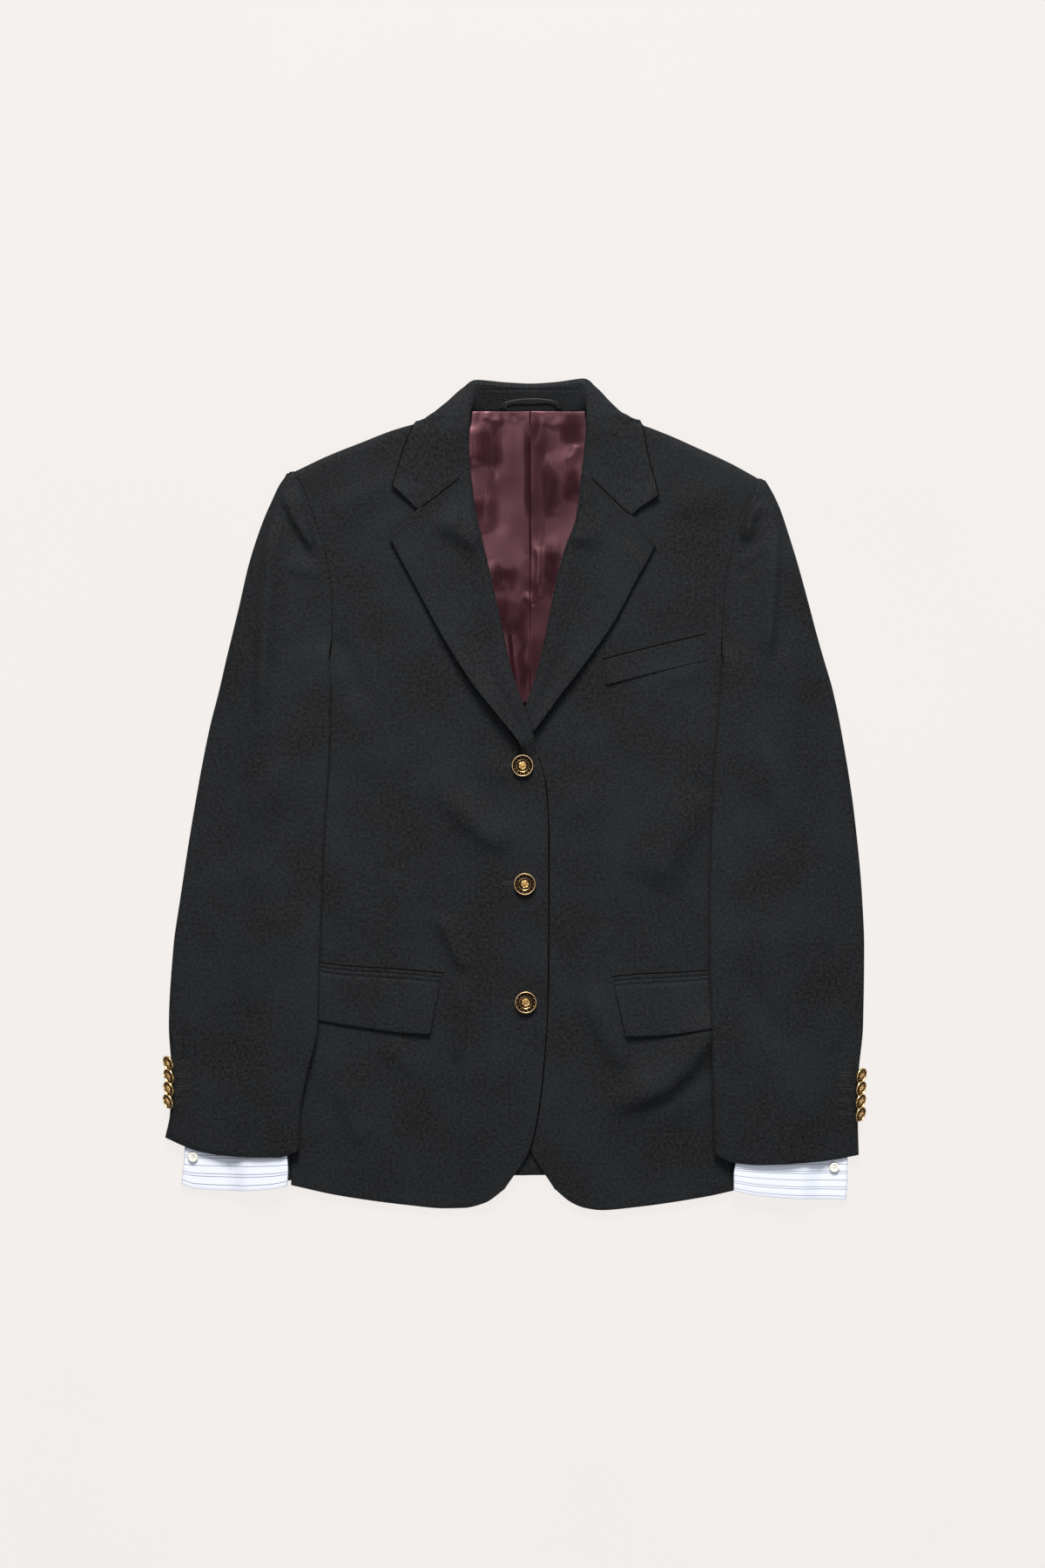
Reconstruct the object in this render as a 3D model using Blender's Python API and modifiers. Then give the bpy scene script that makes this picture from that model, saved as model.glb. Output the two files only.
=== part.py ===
"""A single-breasted suit jacket, buttoned and laid flat on its back.

The frame is the surface it lies on: X across the chest, Y from hem to neck, Z up.
The origin is under the middle of the jacket's box. Each cut piece of cloth is one
open sheet through the middle of its wall, given its thickness by Solidify.
Tables and sizes are in millimetres, and MM turns them into Blender's metres.
"Right" and "left" are the wearer's: the wearer's right is at -X.
"""

import math
from typing import NamedTuple

import bmesh
import bpy
import numpy as np
from mathutils import Euler, Vector

MM = 0.001
NAME = "suit_jacket"

# Walls: outer cloth with its interlining, plain cloth, satin and shirting.
FRONT_WALL = 2.0
CLOTH_WALL = 1.6
LINING_WALL = 1.0
SHIRT_WALL = 1.0
FLAP_WALL = 1.6
SEAM_GAP = 0.3
LAY_GAP = 0.6

FLOOR = CLOTH_WALL / 2
CENTRE_BACK = 14.0
LINING_EASE = 1.1
ROLL_LIP = 5.5
HIDDEN_GAP = 1.2
NECK_GAP = 2.4
SIDE_WIDTH = 36.0
EDGE_ROLL = 8.0
ARM_DEPTH = 4.0
CUFF_DEPTH = 5.5
HEAD_ZONE = 258.0
HEM_ZONE = -296.0
SLEEVE_HEM_ZONE = -286.0
SHIRT_HEM_ZONE = -330.0
HEAD_SHARES = (0.0, 0.35, 0.62, 0.82, 0.95)
LOW_LEVELS = (-296, -244, -192, -140, -88, -36, 16, 60)
SIDE_LEVELS = (76, 91)
SIDE_STOPS = (-6, 3, 8, 13, 21)
ARM_LEVELS = (103, 112, 124, 136, 148, 166, 190, 214, 236)
NOTCH_SHARE = 0.62
LAPEL_LIFT = 2.8
ROLL_LIFT = 2.4
ROLL_REACH = 14.0
OVERLAP_LIFT = FRONT_WALL + LAY_GAP

FRONT_BUTTON = 20.0
CUFF_BUTTON = 14.6
SHIRT_HALF = 0.8
PEARL_PROFILE = ((0, 1.6), (2.4, 1.6), (3.2, 2.1), (4.1, 2.0), (4.5, 1.2), (4.0, 0), (0, 0))
CUFF_TILT = 50.0
CUFF_SHINGLE = 17.0
BUTTON_GAP = 0.75
CUFF_THICK = 2.2
FRONT_THICK = 3.4
BUTTON_SEAT = 0.45

# Sleeves: the run of the top piece under the outer fold, the tucks at the head and down
# the arm, how far the crown's end falls outwards, and the height it comes down to.
BACK_RUN = 5.4
HEAD_TUCK = 3.4
ARM_TUCK = 6.0
HEAD_RISE = 2.6
CROWN_FALL = 3.0
CROWN_END = 2.7
# The fall changes from lying on the fronts to lying under the back between these heights.
FALL_OVER = 6.8
FALL_UNDER = 2.0
# Where the collar's table is read, from the right end to the centre back. The stations
# are close together at the shoulder, where the fall turns under.
COLLAR_STATIONS = (0, 0.8, 1.6, 2.4, 3.2, 4, 4.25, 4.5, 4.75, 5, 5.6, 6.3, 7, 8, 9, 10)


class Lay(NamedTuple):
    """Height of the middle of the front's wall above the surface, at one level."""

    y: float
    z: float


LAY = [
    Lay(-385, 4.3), Lay(-200, 4.6), Lay(0, 5.2), Lay(100, 6.0), Lay(200, 6.9), Lay(300, 7.6), Lay(360, 7.8),
]


class Fold(NamedTuple):
    """A soft ridge (high > 0) or trough (high < 0) along a line from start to end."""

    x0: float
    y0: float
    x1: float
    y1: float
    high: float
    half: float


BODY_FOLDS = [
    Fold(-68, 0, -34, -40, 1.3, 20),
    Fold(-88, -112, -62, -150, -0.9, 18),
    Fold(-150, -262, -128, -332, 1.4, 24),
    Fold(168, -236, 100, -292, 1.6, 24),
    Fold(58, -196, 84, -262, -0.9, 20),
    Fold(62, -12, 90, -70, 0.9, 20),
    Fold(-128, 40, -118, 120, 1.0, 24),
    Fold(140, 20, 132, 84, 1.0, 24),
    Fold(-30, -250, -36, -340, 0.8, 20),
]
SLEEVE_FOLDS = [
    Fold(-222, 262, -236, 60, 2.0, 16),
    Fold(-205, 262, -190, 226, -1.4, 11),
    Fold(-196, 206, -182, 212, -1.0, 9),
    Fold(-216, 20, -240, -64, 1.5, 20),
    Fold(-262, -70, -284, -160, 1.2, 20),
    Fold(-214, -150, -252, -236, -1.2, 20),
    Fold(242, 256, 232, 110, 2.0, 16),
    Fold(222, 226, 204, 206, -1.2, 10),
    Fold(226, 40, 250, -30, 1.5, 20),
    Fold(276, -60, 286, -150, 1.2, 20),
    Fold(214, -160, 250, -240, -1.2, 20),
]


class BodyRow(NamedTuple):
    """One level of a body panel: its side edge and its free edge.

    On a front the free edge is read from here only below the roll line.
    """

    y: float
    side: float
    free: float


FRONT_RIGHT = [
    BodyRow(-362, -205, -8.8),
    BodyRow(-325, -205, 14.4),
    BodyRow(-302, -205, 20.0),
    BodyRow(-262, -203, 25.6),
    BodyRow(-190, -200, 30.4),
    BodyRow(-110, -197, 31.2),
    BodyRow(-30, -196, 31.2),
    BodyRow(10, -198, 28.4),
    BodyRow(34, -200, 21.8),
    BodyRow(92, -206, 0.0),
    BodyRow(100, -196, 0.0),
    BodyRow(112, -179, 0.0),
    BodyRow(126, -168.8, 0.0),
    BodyRow(136, -167.8, 0.0),
    BodyRow(144, -166.9, 0.0),
]
FRONT_LEFT = [
    BodyRow(-362, 222, 36.8),
    BodyRow(-325, 222, 14.4),
    BodyRow(-298, 222, 5.6),
    BodyRow(-254, 220, -4.8),
    BodyRow(-214, 218, -10.4),
    BodyRow(-150, 215, -12.0),
    BodyRow(-70, 213, -12.8),
    BodyRow(-14, 214, -12.0),
    BodyRow(22, 217, -8.0),
    BodyRow(42, 219, 0.0),
    BodyRow(92, 226, 20.8),
    BodyRow(98, 215, 0.0),
    BodyRow(107, 200, 0.0),
    BodyRow(124, 190.4, 0.0),
    BodyRow(134, 190.0, 0.0),
    BodyRow(142, 190.0, 0.0),
]
BACK_RIGHT = [
    BodyRow(-351, -184, CENTRE_BACK),
    BodyRow(-200, -178, CENTRE_BACK),
    BodyRow(-40, -172, CENTRE_BACK),
    BodyRow(60, -178, CENTRE_BACK),
    BodyRow(92, -184, CENTRE_BACK),
    BodyRow(104, -206, CENTRE_BACK),
    BodyRow(116, -196, CENTRE_BACK),
    BodyRow(140, -186, CENTRE_BACK),
    BodyRow(200, -184, CENTRE_BACK),
    BodyRow(256, -190, CENTRE_BACK),
    BodyRow(288, -197, CENTRE_BACK),
]
BACK_LEFT = [
    BodyRow(-351, 204, CENTRE_BACK),
    BodyRow(-200, 198, CENTRE_BACK),
    BodyRow(-40, 192, CENTRE_BACK),
    BodyRow(60, 198, CENTRE_BACK),
    BodyRow(92, 204, CENTRE_BACK),
    BodyRow(104, 226, CENTRE_BACK),
    BodyRow(116, 218, CENTRE_BACK),
    BodyRow(140, 210, CENTRE_BACK),
    BodyRow(200, 208, CENTRE_BACK),
    BodyRow(256, 213, CENTRE_BACK),
    BodyRow(284, 219, CENTRE_BACK),
]


class Edge(NamedTuple):
    """A point on an edge that runs across the jacket, such as a hem or shoulder."""

    x: float
    y: float


HEM_RIGHT = [
    Edge(-206, -358), Edge(-160, -368), Edge(-96, -376.8), Edge(-64, -379.6),
    Edge(-46, -379.2), Edge(-27, -374.4), Edge(-8.8, -361.6),
]
HEM_LEFT = [
    Edge(36.8, -361.6), Edge(52.8, -374.4), Edge(65.6, -379.4), Edge(80, -381.2),
    Edge(112, -378.4), Edge(176, -368.8), Edge(208, -361.6), Edge(223, -358),
]
HEM_BACK = [Edge(-190, -352), Edge(CENTRE_BACK, -347), Edge(206, -352)]
SHOULDER_RIGHT = [
    Edge(-200, 296.0), Edge(-171, 309.8), Edge(-140, 322.2),
    Edge(-108, 334.4), Edge(-87, 339.6), Edge(-49, 342),
]
SHOULDER_LEFT = [
    Edge(72, 342), Edge(112, 338.9), Edge(136, 331.0), Edge(168, 317.0), Edge(198, 303.0), Edge(222.4, 289.6),
]
SHOULDER_BACK = [
    Edge(-197, 290), Edge(-140, 317), Edge(-87, 337), Edge(-50, 348), Edge(-30, 351), Edge(CENTRE_BACK, 351),
    Edge(58, 351), Edge(78, 348), Edge(113, 337), Edge(166, 314), Edge(219, 286.6),
]


class SideRow(NamedTuple):
    """One level of a side panel: its outer fold."""

    y: float
    fold: float


SIDE_RIGHT = [
    SideRow(-354, -240.8),
    SideRow(-302, -240),
    SideRow(-214, -235.2),
    SideRow(-118, -229.6),
    SideRow(-38, -227.2),
    SideRow(34, -229.6),
    SideRow(91, -232),
]
SIDE_LEFT = [
    SideRow(-354, 260),
    SideRow(-302, 259.2),
    SideRow(-214, 254.4),
    SideRow(-118, 248.8),
    SideRow(-38, 246.4),
    SideRow(34, 248.8),
    SideRow(91, 252),
]


class SleeveRow(NamedTuple):
    """One level of a sleeve: outer and inner edge, lift off the body, crown and tuck."""

    y: float
    outer: float
    inner: float
    lift: float
    crown: float
    tuck: float


SLEEVE_RIGHT = [
    SleeveRow(292.5, -208.2, -200.4, -1.2, 0.3, 3.4),
    SleeveRow(285, -213.6, -195.6, -1.2, 0.8, 3.4),
    SleeveRow(272, -220.8, -190.4, -1.2, 1.6, 3.4),
    SleeveRow(250, -230.4, -182.4, -1.2, 3.2, 3.4),
    SleeveRow(211, -243.2, -171.4, -1.2, 4.6, 3.4),
    SleeveRow(173, -252.0, -166.7, -1.2, 5.8, 3.4),
    SleeveRow(146, -258.5, -167.2, -0.6, 6.0, 3.6),
    SleeveRow(126, -263.4, -169.6, 2.6, 2.2, 8.0),
    SleeveRow(96, -270.4, -168.0, 2.9, 1.8, 14.0),
    SleeveRow(58, -280.0, -168.4, 2.9, 2.2, 15.0),
    SleeveRow(-19, -294.4, -173.0, 2.9, 2.2, 15.0),
    SleeveRow(-96, -306.4, -176.4, 3.2, 2.2, 15.0),
    SleeveRow(-140, -312.6, -178.0, 5.4, 2.2, 15.0),
    SleeveRow(-212, -316.8, -180.0, 5.4, 2.2, 15.0),
    SleeveRow(-260, -314.0, -190.4, 4.4, 2.2, 15.0),
    SleeveRow(-292, -315.6, -196.0, 3.2, 2.7, 15.0),
    SleeveRow(-314, -320.0, -197.4, 3.0, 2.9, 15.0),
]
SLEEVE_LEFT = [
    SleeveRow(286.5, 229.2, 221.6, -1.2, 0.3, 3.4),
    SleeveRow(277, 236.8, 218.2, -1.2, 0.8, 3.4),
    SleeveRow(261, 244.0, 211.0, -1.2, 1.6, 3.4),
    SleeveRow(242, 250.4, 203.4, -1.2, 3.2, 3.4),
    SleeveRow(211, 260.0, 196.8, -1.2, 4.6, 3.4),
    SleeveRow(173, 270.4, 191.8, -1.2, 5.8, 3.4),
    SleeveRow(142, 278.6, 190.4, -0.6, 6.0, 3.6),
    SleeveRow(122, 284.4, 191.0, 2.6, 2.2, 8.0),
    SleeveRow(96, 292.0, 188.6, 2.9, 1.8, 14.0),
    SleeveRow(58, 300.0, 185.4, 2.9, 2.2, 15.0),
    SleeveRow(-19, 312.0, 180.8, 2.9, 2.2, 15.0),
    SleeveRow(-96, 319.2, 179.0, 3.2, 2.2, 15.0),
    SleeveRow(-140, 321.0, 178.8, 5.4, 2.2, 15.0),
    SleeveRow(-212, 320.0, 180.4, 5.4, 2.2, 15.0),
    SleeveRow(-260, 315.6, 181.6, 4.4, 2.2, 15.0),
    SleeveRow(-292, 315.0, 182.4, 3.2, 2.7, 15.0),
    SleeveRow(-318, 315.8, 183.2, 3.0, 2.9, 15.0),
]
SLEEVE_HEM_RIGHT = [
    Edge(-320, -314.4), Edge(-304, -321.6), Edge(-288, -327.2), Edge(-264, -330.8),
    Edge(-240, -332), Edge(-216, -332), Edge(-197.6, -326.4),
]
SLEEVE_HEM_LEFT = [
    Edge(183.2, -328), Edge(200, -336.8), Edge(224, -338.8), Edge(256, -337.6),
    Edge(288, -335.2), Edge(316, -330.4),
]


class LapelRow(NamedTuple):
    """One station of a lapel: a point on its roll line, one on its edge, and its bow."""

    roll_x: float
    roll_y: float
    edge_x: float
    edge_y: float
    bow: float = 0.0


LAPEL_RIGHT = [
    LapelRow(18.4, 53.0, 5.4, 44.6),
    LapelRow(11.6, 74.4, -16.8, 74.4),
    LapelRow(-1.6, 111.2, -38.8, 102.4),
    LapelRow(-14.7, 170.4, -65.1, 144.0),
    LapelRow(-26.8, 223.2, -91.5, 192.8),
    LapelRow(-35.5, 262.4, -105.0, 217.5),
    LapelRow(-40.4, 296.2, -113.4, 234.0, 3.2),
]
LAPEL_LEFT = [
    LapelRow(12.0, 85.0, 20.2, 60.8),
    LapelRow(17.4, 101.0, 37.9, 85.0),
    LapelRow(29.2, 148.8, 66.4, 122.4),
    LapelRow(36.8, 188.0, 92.6, 160.0),
    LapelRow(46.4, 225.6, 110.4, 194.0),
    LapelRow(56.6, 254.0, 122.4, 215.0),
    LapelRow(62.1, 297.0, 129.0, 228.0, -2.6),
]


class CollarRow(NamedTuple):
    """One station round the collar: stand's foot, fold, crest of the fall and its edge."""

    foot_x: float
    foot_y: float
    foot_z: float
    fold_x: float
    fold_y: float
    fold_z: float
    crest_x: float
    crest_y: float
    crest_z: float
    edge_x: float
    edge_y: float
    edge_z: float


COLLAR = [
    CollarRow(-45.2, 294.2, 7.5, -41.2, 297.6, 10.2, -88.2, 261.8, 10.3, -111.2, 282.4, 10.6),
    CollarRow(-48.0, 307.0, 7.6, -42.4, 307.4, 11.0, -79.0, 288.0, 11.0, -107.6, 294.6, 10.8),
    CollarRow(-48.4, 322.0, 7.6, -42.6, 322.0, 12.0, -72.0, 312.0, 12.0, -99.6, 320.0, 10.8),
    CollarRow(-48.0, 334.0, 7.4, -42.0, 334.6, 13.0, -68.0, 331.0, 13.0, -93.4, 334.4, 10.4),
    CollarRow(-46.6, 341.0, 7.0, -41.6, 341.6, 13.2, -85.4, 342.6, 9.0, -89.4, 341.4, 6.9),
    CollarRow(-43.0, 346.6, 6.0, -41.0, 348.0, 13.0, -74.6, 350.6, 8.2, -83.6, 340.4, 1.0),
    CollarRow(-37.0, 351.6, 4.4, -40.2, 357.0, 12.4, -61.6, 360.4, 7.2, -66.0, 335.0, 1.0),
    CollarRow(-30.0, 351.6, 3.8, -38.4, 367.0, 11.4, -47.2, 371.6, 6.4, -44.0, 333.6, 1.0),
    CollarRow(-20.0, 351.6, 3.6, -32.0, 375.6, 10.0, -34.0, 379.0, 5.4, -26.0, 333.4, 1.0),
    CollarRow(-2.0, 351.6, 3.6, -6.0, 373.6, 9.4, -6.4, 376.6, 5.2, -4.0, 333.4, 1.0),
    CollarRow(15.0, 351.6, 3.6, 15.0, 372.4, 9.2, 15.0, 375.6, 5.2, 15.0, 333.4, 1.0),
    CollarRow(32.0, 351.6, 3.6, 36.0, 373.6, 9.4, 36.6, 376.8, 5.2, 33.0, 333.4, 1.0),
    CollarRow(48.0, 351.6, 3.6, 61.0, 376.6, 10.0, 63.0, 380.2, 5.4, 54.0, 333.4, 1.0),
    CollarRow(58.0, 351.6, 3.8, 66.6, 367.4, 11.4, 75.2, 372.0, 6.4, 72.0, 333.6, 1.0),
    CollarRow(64.0, 351.6, 4.4, 67.4, 357.0, 12.4, 88.8, 359.6, 7.2, 94.0, 335.0, 1.0),
    CollarRow(70.0, 346.6, 6.0, 67.4, 348.0, 13.0, 99.6, 350.4, 8.2, 109.6, 340.4, 1.0),
    CollarRow(72.6, 341.0, 7.0, 67.2, 341.6, 13.2, 111.0, 343.4, 9.0, 114.8, 342.4, 6.9),
    CollarRow(73.0, 334.0, 7.4, 66.8, 334.4, 13.0, 92.0, 331.0, 13.0, 118.2, 333.6, 10.4),
    CollarRow(71.6, 322.0, 7.6, 65.6, 322.0, 12.0, 94.0, 311.0, 12.0, 120.8, 317.6, 10.8),
    CollarRow(70.0, 307.0, 7.6, 64.4, 307.4, 11.0, 99.0, 286.0, 11.0, 127.0, 292.0, 10.8),
    CollarRow(66.6, 294.4, 7.5, 62.8, 298.2, 10.2, 106.6, 257.0, 10.3, 131.8, 273.6, 10.6),
]


class LiningRow(NamedTuple):
    """One level of the back lining where the neck opening shows it."""

    y: float
    right: float
    left: float


LINING = [
    LiningRow(351, -33, 60),
    LiningRow(338, -40, 66),
    LiningRow(326, -45, 69),
    LiningRow(296, -46, 67),
    LiningRow(225, -33, 52),
    LiningRow(170, -21, 39),
    LiningRow(111, -8, 26),
    LiningRow(84, 0, 20),
]
LINING_FOLDS = [
    Fold(-16, 330, -14, 250, -0.7, 9),
    Fold(16, 345, 16, 200, 0.8, 9),
    Fold(34, 320, 30, 240, -0.6, 9),
]


class Patch(NamedTuple):
    """A four-cornered piece that lies on a front, from its upper corners down."""

    name: str
    top: tuple
    bottom: tuple
    wall: float
    soft: float


WELT_LEFT = Patch("breast_welt", ((82.4, 124.0), (128, 135.6), (174.4, 146.4)),
                  ((84.0, 100.0), (130, 112.0), (176.8, 122.8)), FLAP_WALL, 0.5)
JET_RIGHT = Patch("pocket_jet_right",
                  ((-196, -151.6), (-179, -154.4), (-152, -157.6), (-112, -160.0), (-65, -164.0)),
                  ((-196, -155.4), (-179, -158.2), (-152, -161.4), (-112, -163.8), (-66, -167.8)),
                  FLAP_WALL, 0.0)
JET_LEFT = Patch("pocket_jet_left",
                 ((91.2, -167.2), (116, -164.8), (144, -163.8), (178.4, -161.4), (210, -157.6)),
                 ((91.2, -171.2), (116, -168.8), (144, -167.8), (178.4, -165.4), (210, -161.6)),
                 FLAP_WALL, 0.0)
FLAP_RIGHT = Patch("pocket_flap_right",
                   ((-197, -155.8), (-179, -158.6), (-152, -161.8),
                    (-112, -164.2), (-90, -165.8), (-67.4, -168.4)),
                   ((-197, -203), (-179, -207), (-152, -211.8),
                    (-112, -217.4), (-90, -219.2), (-77, -219.4)),
                   FLAP_WALL, 0.9)
FLAP_LEFT = Patch("pocket_flap_left",
                  ((91.2, -171.6), (108, -169.8), (124, -169.2), (144, -168.2), (178.4, -165.8), (212, -161.8)),
                  ((102, -221.4), (112, -221.8), (126, -221.4), (148, -219.6), (179, -214.4), (212, -209.0)),
                  FLAP_WALL, 0.9)


class ShirtRow(NamedTuple):
    """One level of a shirt cuff: its outer and inner edge."""

    y: float
    outer: float
    inner: float


FRONT_BUTTONS = [Edge(7.6, 26.4), Edge(9.6, -82.0), Edge(10.6, -190.4)]
CUFF_BUTTONS_RIGHT = [-246.0, -257.6, -269.2, -280.8]
CUFF_BUTTONS_LEFT = [-257.0, -268.8, -280.6, -292.4]

SHIRT_RIGHT = [
    ShirtRow(-300, -302, -214), ShirtRow(-326, -302.5, -208.4),
    ShirtRow(-344, -304.0, -207.0), ShirtRow(-357, -305.4, -208.0),
]
SHIRT_LEFT = [
    ShirtRow(-306, 306, 206), ShirtRow(-334, 306.0, 203.0),
    ShirtRow(-350, 305.6, 201.0), ShirtRow(-364, 304.6, 201.0),
]
SHIRT_HEM_RIGHT = [
    Edge(-305.4, -357), Edge(-292, -361.6), Edge(-256, -363.2), Edge(-224, -361.6), Edge(-208, -358.4),
]
SHIRT_HEM_LEFT = [Edge(201, -362.6), Edge(224, -367.2), Edge(264, -370.4), Edge(304.6, -371.6)]
PEARL_RIGHT = Edge(-294.6, -332.6)
PEARL_LEFT = Edge(293.4, -342.0)

LOOP = [
    (-11.0, 353.6), (-9.4, 356.6), (-5.0, 358.6), (4.0, 359.8), (15.0, 360.2),
    (26.0, 360.2), (35.0, 359.2), (39.6, 356.8), (41.0, 353.6),
]
LOOP_WIDTH = 3.0


# ---------------------------------------------------------------- curves and heights


def smooth(keys, values, at):
    """Values between the keys on a curve through them that doesn't overshoot."""
    keys = np.asarray(keys, float)
    values = np.asarray(values, float)
    if keys[0] > keys[-1]:
        keys, values = keys[::-1], values[::-1]
    steps = np.diff(keys)
    slopes = np.diff(values) / steps
    tangents = np.zeros(len(keys))
    for i in range(1, len(keys) - 1):
        if slopes[i - 1] * slopes[i] > 0:
            tangents[i] = 2 * slopes[i - 1] * slopes[i] / (slopes[i - 1] + slopes[i])
    tangents[0], tangents[-1] = slopes[0], slopes[-1]
    at = min(max(at, keys[0]), keys[-1])
    i = int(min(max(np.searchsorted(keys, at) - 1, 0), len(steps) - 1))
    t = (at - keys[i]) / steps[i]
    return float(
        values[i] * (1 + 2 * t) * (1 - t) ** 2
        + tangents[i] * steps[i] * t * (1 - t) ** 2
        + values[i + 1] * t * t * (3 - 2 * t)
        + tangents[i + 1] * steps[i] * t * t * (t - 1)
    )


def column(table, name, at, key="y"):
    """A named column of a table, read at any value of its key column."""
    return smooth([getattr(row, key) for row in table], [getattr(row, name) for row in table], at)


def ease(value):
    """0 below 0, 1 above 1 and a soft S between."""
    value = min(max(value, 0.0), 1.0)
    return value * value * (3 - 2 * value)


def fold_height(folds, x, y):
    """Sum of the soft folds' heights at a point."""
    total = 0.0
    for fold in folds:
        run = Vector((fold.x1 - fold.x0, fold.y1 - fold.y0))
        reach = Vector((x - fold.x0, y - fold.y0))
        along = reach.dot(run) / run.length_squared
        across = (reach - run * min(max(along, 0.0), 1.0)).length / fold.half
        total += fold.high * math.exp(-across * across)
    return total


def lay(x, y):
    """Height of the middle of a front's wall where it lies on the back."""
    chest = 1.2 * math.exp(-(((abs(x - CENTRE_BACK) - 95) / 60) ** 2) - ((y - 205) / 70) ** 2)
    return column(LAY, "z", y) + chest + fold_height(BODY_FOLDS, x, y)


def front_right_z(x, y):
    """The right front lies over the left one and steps down beside its hidden edge."""
    over = ease((x + 48) / 34) * (1 - ease((y - 96) / 50))
    return lay(x, y) + OVERLAP_LIFT * over


def front_left_z(x, y):
    """The left front lies straight on the back and its lining."""
    return lay(x, y)


def back_z(x, y):
    """The back lies on the surface and rises over the collar's fall at the neck."""
    near_neck = 1 - ease((abs(x - CENTRE_BACK) - 100) / 34)
    return FLOOR + 2.8 * ease((y - 294) / 34) * near_neck


def stand_z(y):
    """Height of the stand's middle behind the neck, from its foot to its fold."""
    return 3.6 + 5.6 * ease((y - 349.0) / 30.0)


def back_top(x, y):
    """Height at which the middle of a front's wall clears the back beneath it."""
    return back_z(x, y) + CLOTH_WALL / 2 + LAY_GAP + FRONT_WALL / 2


def edge_curl(z, gap, low):
    """Height of a sheet that rounds down to low over the last stretch to its edge."""
    if gap >= EDGE_ROLL:
        return z
    return low + (z - low) * math.sqrt(max(0.0, 1 - (1 - gap / EDGE_ROLL) ** 2))


def through(points, steps):
    """A rounded curve through the given points, with a number of steps for each span."""
    points = [Vector(p) for p in points]
    curve = [points[0]]
    for i, count in enumerate(steps):
        before = points[max(i - 1, 0)]
        start, end = points[i], points[i + 1]
        after = points[min(i + 2, len(points) - 1)]
        span = (end - start).length
        into = (end - before) * (span / max((end - before).length, 1e-6))
        out = (after - start) * (span / max((after - start).length, 1e-6))
        for k in range(1, count + 1):
            t = k / count
            curve.append(
                start * ((1 + 2 * t) * (1 - t) ** 2) + into * (t * (1 - t) ** 2)
                + end * (t * t * (3 - 2 * t)) + out * (t * t * (t - 1))
            )
    return curve


# ---------------------------------------------------------------- meshes and finishes


def linear(channel):
    """An sRGB channel of 0 to 255 as linear light."""
    value = channel / 255
    return value / 12.92 if value <= 0.04045 else ((value + 0.055) / 1.055) ** 2.4


def finish(name, colour, roughness, metallic=0.0):
    """A Principled material from an sRGB colour."""
    material = bpy.data.materials.new(name)
    material.use_nodes = True
    shader = material.node_tree.nodes["Principled BSDF"]
    shader.inputs["Base Color"].default_value = (*(linear(c) for c in colour), 1.0)
    shader.inputs["Roughness"].default_value = roughness
    shader.inputs["Metallic"].default_value = metallic
    return material


def place(name, mesh, material, collection):
    """Put a mesh in the jacket's collection as a named, smooth-shaded object."""
    mesh.materials.append(material)
    mesh.shade_smooth()
    mesh.set_sharp_from_angle(angle=math.radians(50))
    piece = bpy.data.objects.new(name, mesh)
    collection.objects.link(piece)
    return piece


def sheet(name, rows, wall, material, collection, ring=False):
    """A cloth wall through a grid of points, which may close into a ring."""
    mesh = bpy.data.meshes.new(name)
    shell = bmesh.new()
    grid = [[shell.verts.new(Vector(point) * MM) for point in row] for row in rows]
    width = len(rows[0])
    for low, high in zip(grid, grid[1:]):
        for k in range(width if ring else width - 1):
            n = (k + 1) % width
            shell.faces.new((low[k], low[n], high[n], high[k]))
    bmesh.ops.recalc_face_normals(shell, faces=shell.faces)
    shell.to_mesh(mesh)
    shell.free()
    piece = place(name, mesh, material, collection)
    solid = piece.modifiers.new("wall", "SOLIDIFY")
    solid.thickness = wall * MM
    solid.offset = 0.0
    solid.use_even_offset = True
    solid.use_quality_normals = True
    return piece


def turned(name, profile, steps, material, collection):
    """A button turned about Z from a profile of radius and height, top to bottom."""
    mesh = bpy.data.meshes.new(name)
    spots = [(r * MM, 0, z * MM) for r, z in profile]
    mesh.from_pydata(spots, [(k, k + 1) for k in range(len(spots) - 1)], [])
    piece = place(name, mesh, material, collection)
    screw = piece.modifiers.new("turn", "SCREW")
    screw.steps = screw.render_steps = steps
    screw.use_merge_vertices = True
    screw.merge_threshold = 0.00002
    screw.use_normal_calculate = True
    return piece


# ---------------------------------------------------------------- pieces of the body


def spread(low, high, count):
    """Numbers evenly from low to high."""
    return [low + (high - low) * k / (count - 1) for k in range(count)]


def panel(levels, edges, hem, top, height, columns, curl):
    """Points of a body panel whose hem and shoulder are not level.

    edges gives the two end points' X for a level and for the height that the level
    reaches at the free end, since the rows near the shoulder fan out towards the neck.
    """
    rows = []
    low, high = levels[0], levels[-1]
    neck = top(edges(high, high)[1])
    for level in levels:
        share = max(0.0, (level - HEAD_ZONE) / (high - HEAD_ZONE))
        side, free = edges(level, level if share == 0 else HEAD_ZONE + (neck - HEAD_ZONE) * share)
        row = []
        for k in range(columns):
            x = side + (free - side) * k / (columns - 1)
            y = level
            edge = top(x)
            if level < HEM_ZONE:
                y = HEM_ZONE + (hem(x) - HEM_ZONE) * (HEM_ZONE - level) / (HEM_ZONE - low)
            if share > 0:
                y = HEAD_ZONE + (edge - HEAD_ZONE) * share
            z = height(x, y)
            row.append((x, y, edge_curl(z, edge - y, back_top(x, y)) if curl else z))
        rows.append(row)
    return rows


def line(table):
    """A function of X along an edge that runs across the jacket."""
    return lambda x: column(table, "y", x, key="x")


def head_levels(tip):
    """Levels near a shoulder, shared by the body and the sleeve so that their seam fits."""
    return [HEAD_ZONE + (tip - HEAD_ZONE) * share for share in HEAD_SHARES]


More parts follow.
